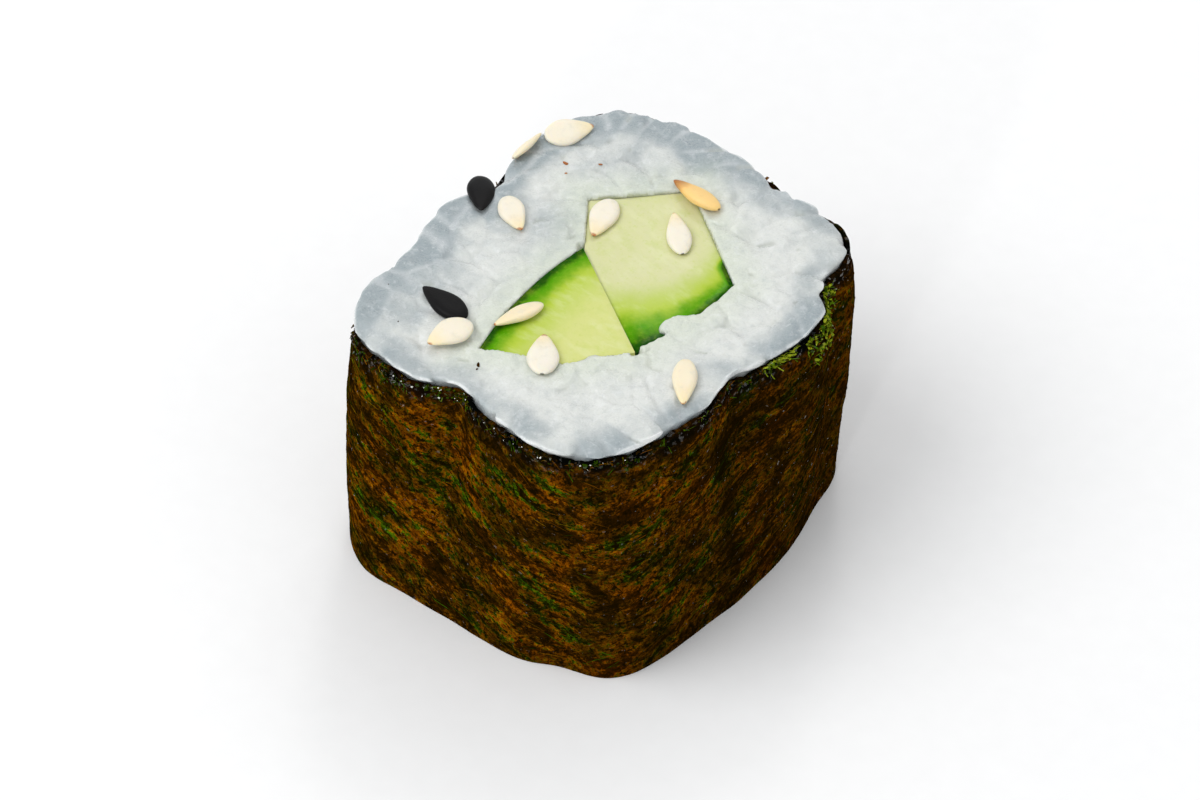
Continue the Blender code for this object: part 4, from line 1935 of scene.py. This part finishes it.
@dataclass
class SesameSeeds:
    """The sesame seeds on the upper face, one joined piece for each kind.

    Attributes:
        ground: The pieces that the seeds lie on.
        width: A seed's width, as a share of its length.
        thickness: A seed's thickness, as a share of its length.
    """

    ground: Sequence[bpy.types.Object]
    width: float = 0.60
    thickness: float = 0.19

    def surface(self) -> BVHTree:
        """Join the ground pieces' faces, for rays to be cast on them.

        Returns:
            The joined ground.
        """
        points: list[Vector] = []
        faces: list[list[int]] = []
        for piece in self.ground:
            first = len(points)
            points.extend(vertex.co for vertex in piece.data.vertices)
            faces.extend([first + corner for corner in face.vertices] for face in piece.data.polygons)
        return BVHTree.FromPolygons(points, faces)

    def model_seed(self, plump: float) -> bpy.types.Object:
        """Model one seed of length 1, pointing along +X: a flat drop with a soft raised edge.

        Args:
            plump: Its width, as a share of a usual seed's.

        Returns:
            The seed.
        """
        seed = model_ball(32, 24, 0.5)
        points = read_points(seed)
        x = points[:, 0] * 2.0
        girth = np.hypot(points[:, 1], points[:, 2]) + 1e-9
        across, upward = points[:, 1] / girth, points[:, 2] / girth
        taper = 1.0 - 0.44 * smooth_step(-0.40, 1.0, x) - 0.10 * smooth_step(0.7, 1.0, x)
        square = (np.abs(across) ** 2.6 + np.abs(upward) ** 2.6) ** (-1.0 / 2.6)
        points[:, 1] = girth * across * square * self.width * plump * taper
        flat = 1.0 - 0.30 * smooth_step(-0.2, 1.0, x)
        points[:, 2] = girth * upward * square * self.thickness * flat
        dimple = 1.0 - 0.12 * np.exp(-((points[:, 1] / 0.12) ** 2)) * smooth_step(0.9, 0.3, np.abs(x))
        points[:, 2] *= dimple
        write_points(seed, points)
        store_values(seed, "along", (x + 1.0) / 2.0)
        return seed

    def place(self, spot: SeedSpot, surface: BVHTree) -> Matrix:
        """Lay one seed on the ground under it.

        Args:
            spot: Where it lies.
            surface: The ground.

        Returns:
            The seed's place, turn and size.
        """
        aim = math.radians(spot.tip)
        along = Vector((math.cos(aim), math.sin(aim), 0.0))
        aside = Vector((-along.y, along.x, 0.0))
        size = spot.length * MM
        samples = []
        above = Vector((0.0, 0.0, 2.0 * size + 20.0 * MM))
        for forth in (-0.36, -0.18, 0.0, 0.18, 0.36):
            for left in (-0.18, 0.0, 0.18):
                foot = Vector((spot.x * MM, spot.y * MM, 0.0)) + along * forth * size + aside * left * size
                hit = surface.ray_cast(foot + above, DOWN)[0]
                if hit:
                    samples.append((forth * size, left * size, hit.z))
        forth, left, height = np.array(samples).T
        design = np.column_stack([forth, left, np.ones_like(forth)])
        fit = np.linalg.lstsq(design, height, rcond=None)[0]
        rise = np.clip(fit[:2], -0.16, 0.16)
        forward = (along + Vector((0.0, 0.0, rise[0]))).normalized()
        side = aside + Vector((0.0, 0.0, rise[1]))
        side = (side - forward * side.dot(forward)).normalized()
        up = forward.cross(side)
        roll = math.radians(spot.roll)
        turn = Matrix((forward, side, up)).transposed().to_4x4() @ Matrix.Rotation(roll, 4, "X")
        width = self.width * spot.plump
        half = 0.5 * size * math.hypot(self.thickness * math.cos(roll), width * math.sin(roll))
        ground = float(fit[2]) + 0.35 * float(np.max(height - design @ fit))
        middle = Vector((spot.x * MM, spot.y * MM, ground + half - spot.sink * MM))
        return Matrix.Translation(middle) @ turn @ Matrix.Scale(size, 4)

    def build(self) -> dict[SeedKind, bpy.types.Object]:
        """Model and lay all the seeds.

        Returns:
            The joined piece of each kind.
        """
        surface = self.surface()
        pieces = {}
        for kind in SeedKind:
            seeds = []
            for spot in (spot for spot in SEED_SPOTS if spot.kind is kind):
                seeds.append(self.model_seed(spot.plump))
                store_level(seeds[-1], "warm", spot.warm)
                seeds[-1].matrix_world = self.place(spot, surface)
            pieces[kind] = join_pieces(f"sesame_{kind.value}", seeds)
            smooth_over(pieces[kind])
        return pieces


@dataclass
class Crumbs:
    """Tiny flat bits lying on the upper face."""

    name: str
    ground: BVHTree
    spots: Sequence[tuple[float, float, float]]
    seed: int = 91

    def build(self) -> bpy.types.Object:
        """Model all the bits, in one piece.

        Returns:
            The finished object, without its material.
        """
        draw = random.Random(self.seed)
        bits = []
        for x, y, size in self.spots:
            deselect_all()
            bpy.ops.mesh.primitive_cylinder_add(vertices=9, radius=0.5, depth=0.22)
            bit = bpy.context.object
            points = read_points(bit)
            turns = directions(points)
            uneven = 1.0
            for count, deep in ((2, 0.22), (3, 0.15)):
                uneven = uneven + deep * np.sin(count * turns + draw.uniform(0, 6))
            points[:, :2] *= uneven[:, None] * (1.0, 0.6)
            write_points(bit, points)
            hit = self.ground.ray_cast(Vector((x * MM, y * MM, 40.0 * MM)), DOWN)[0]
            turn = Euler((draw.gauss(0, 0.15), draw.gauss(0, 0.15), draw.uniform(0, math.pi)))
            bit.matrix_world = Matrix.LocRotScale(hit, turn, Vector((size * MM,) * 3))
            apply_modifier(bit, "BEVEL", width=0.05, segments=1)
            bits.append(bit)
        crumbs = join_pieces(self.name, bits)
        smooth_over(crumbs, 50)
        for name, value in (("hue", 0.3), ("shade", 0.12), ("along", 1.1), ("warm", 1.0)):
            store_level(crumbs, name, value)
        return crumbs


HUSK_SPOTS = ((-8.7, 6.4, 0.42), (-8.05, 5.7, 0.24), (-7.0, 7.8, 0.30))
FLECK_SPOTS = ((-0.55, -10.7, 0.36), (-0.3, -11.1, 0.22), (-9.6, -9.2, 0.12), (-6.8, -11.3, 0.13))


# ---- Studio ----

@dataclass(frozen=True)
class Lamp:
    """One soft round light: its place in degrees from the camera, its width in metres, its watts."""

    name: str
    azimuth: float
    elevation: float
    size: float
    power: float
    glint: bool = True


LAMPS = (
    Lamp("key", -72, 55, 0.45, 1.6),
    Lamp("fill", 55, 40, 0.5, 0.10),
    Lamp("back", 165, 50, 0.4, 0.45, glint=False),
    Lamp("spark", 172, 47, 0.10, 0.24),
    Lamp("low_spark", -18, 24, 0.04, 0.32),
)


@dataclass
class Studio:
    """Pale floor, soft lights and the camera."""

    azimuth: float = math.radians(42)
    elevation: float = math.radians(45)
    distance: float = 0.5
    lens: float = 235.0
    aim: Vector = field(default_factory=lambda: Vector((0.0, 0.0, 9.2 * MM)))
    lamp_distance: float = 0.6
    sky: Colour = (0.98, 0.99, 1.0)
    daylight: float = 0.64
    floor_tones: tuple[Colour, Colour] = ((0.90, 0.90, 0.90), (0.93, 0.93, 0.93))

    def direction(self, azimuth: float, elevation: float) -> Vector:
        """Give the direction from the roll to a place round it."""
        flat = math.cos(elevation)
        return Vector((math.sin(azimuth) * flat, -math.cos(azimuth) * flat, math.sin(elevation)))

    def set_camera(self) -> None:
        """Stand the camera at its place."""
        back = self.direction(self.azimuth, self.elevation)
        camera = bpy.data.objects.new("camera", bpy.data.cameras.new("camera"))
        camera.data.lens = self.lens
        camera.data.clip_start = 0.01
        camera.location = self.aim + back * self.distance
        camera.rotation_euler = back.to_track_quat("Z", "Y").to_euler()
        bpy.context.scene.collection.objects.link(camera)
        bpy.context.scene.camera = camera

    def hang(self, lamp: Lamp) -> None:
        """Hang one light, facing the roll.

        Args:
            lamp: The light's name, place and strength.
        """
        light = bpy.data.lights.new(lamp.name, "AREA")
        light.shape = "DISK"
        light.size = lamp.size
        light.energy = lamp.power
        back = self.direction(self.azimuth + math.radians(lamp.azimuth), math.radians(lamp.elevation))
        body = bpy.data.objects.new(lamp.name, light)
        body.location = self.aim + back * self.lamp_distance
        body.rotation_euler = back.to_track_quat("Z", "Y").to_euler()
        body.visible_glossy = lamp.glint
        bpy.context.scene.collection.objects.link(body)

    def light_room(self) -> None:
        """Set the lights and the pale surroundings."""
        for lamp in LAMPS:
            self.hang(lamp)
        world = bpy.data.worlds.new("room")
        world.use_nodes = True
        sky = world.node_tree.nodes["Background"].inputs
        sky["Color"].default_value = (*self.sky, 1.0)
        sky["Strength"].default_value = self.daylight
        bpy.context.scene.world = world
        bpy.context.scene.view_settings.view_transform = "Standard"

    def lay_floor(self) -> None:
        """Lay the pale floor under the roll."""
        deselect_all()
        bpy.ops.mesh.primitive_plane_add(size=3.0, location=(0.0, 0.0, -0.02 * MM))
        floor = bpy.context.object
        bpy.ops.object.transform_apply(location=True)
        floor.name = "floor"
        bench = FinishBench("floor")
        tooth = bench.noise(bench.millimetres(), 0.6, 2.0, 0.5)
        bench.dress(Base_Color=bench.blend(tooth, *self.floor_tones), Roughness=0.85)
        floor.data.materials.append(bench.material)

    def build(self) -> None:
        """Set the whole studio."""
        self.set_camera()
        self.light_room()
        self.lay_floor()


def main() -> None:
    """Build, dress and report every piece of the roll."""
    logging.basicConfig(level=logging.INFO, format="%(name)s: %(message)s", stream=sys.stdout)
    Studio().build()
    shape = RollShape()
    rice = RiceFinish().make()
    upper = RiceBed(shape, CutFace.UPPER, seed=11).build()
    hand_over(upper, "rice", rice, ("rice",))
    hand_over(RiceBed(shape, CutFace.LOWER, seed=29, voxel=0.20 * MM).build(), "rice", rice)
    hand_over(RiceCore(shape).build(), "rice", rice)
    batons = []
    for finish in CUCUMBER_FINISHES:
        batons.append(Baton(finish.shape, shape).build())
        hand_over(batons[-1], "cucumber", finish.make(), (finish.shape.node,))
    sheet = NoriSheet(shape)
    seaweed = NoriFinish()
    loose = seaweed.make_loose("nori_loose", 0.0)
    hand_over(sheet.build(), "nori", seaweed.make(), ("nori",))
    hand_over(NoriFibres(sheet).build(), "nori", loose)
    hand_over(TornRim(sheet).build(), "nori", seaweed.make_loose("nori_torn", 0.8))
    seeds = SesameSeeds([upper, *batons])
    finishes = {finish.kind: finish.make() for finish in SEED_FINISHES}
    for kind, piece in seeds.build().items():
        hand_over(piece, "sesame", finishes[kind])
    ground = seeds.surface()
    hand_over(Crumbs("husk_specks", ground, HUSK_SPOTS).build(), "sesame", finishes[SeedKind.TOASTED])
    hand_over(Crumbs("nori_flecks", ground, FLECK_SPOTS, seed=92).build(), "nori", loose)
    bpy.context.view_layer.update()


if __name__ == "__main__":
    main()
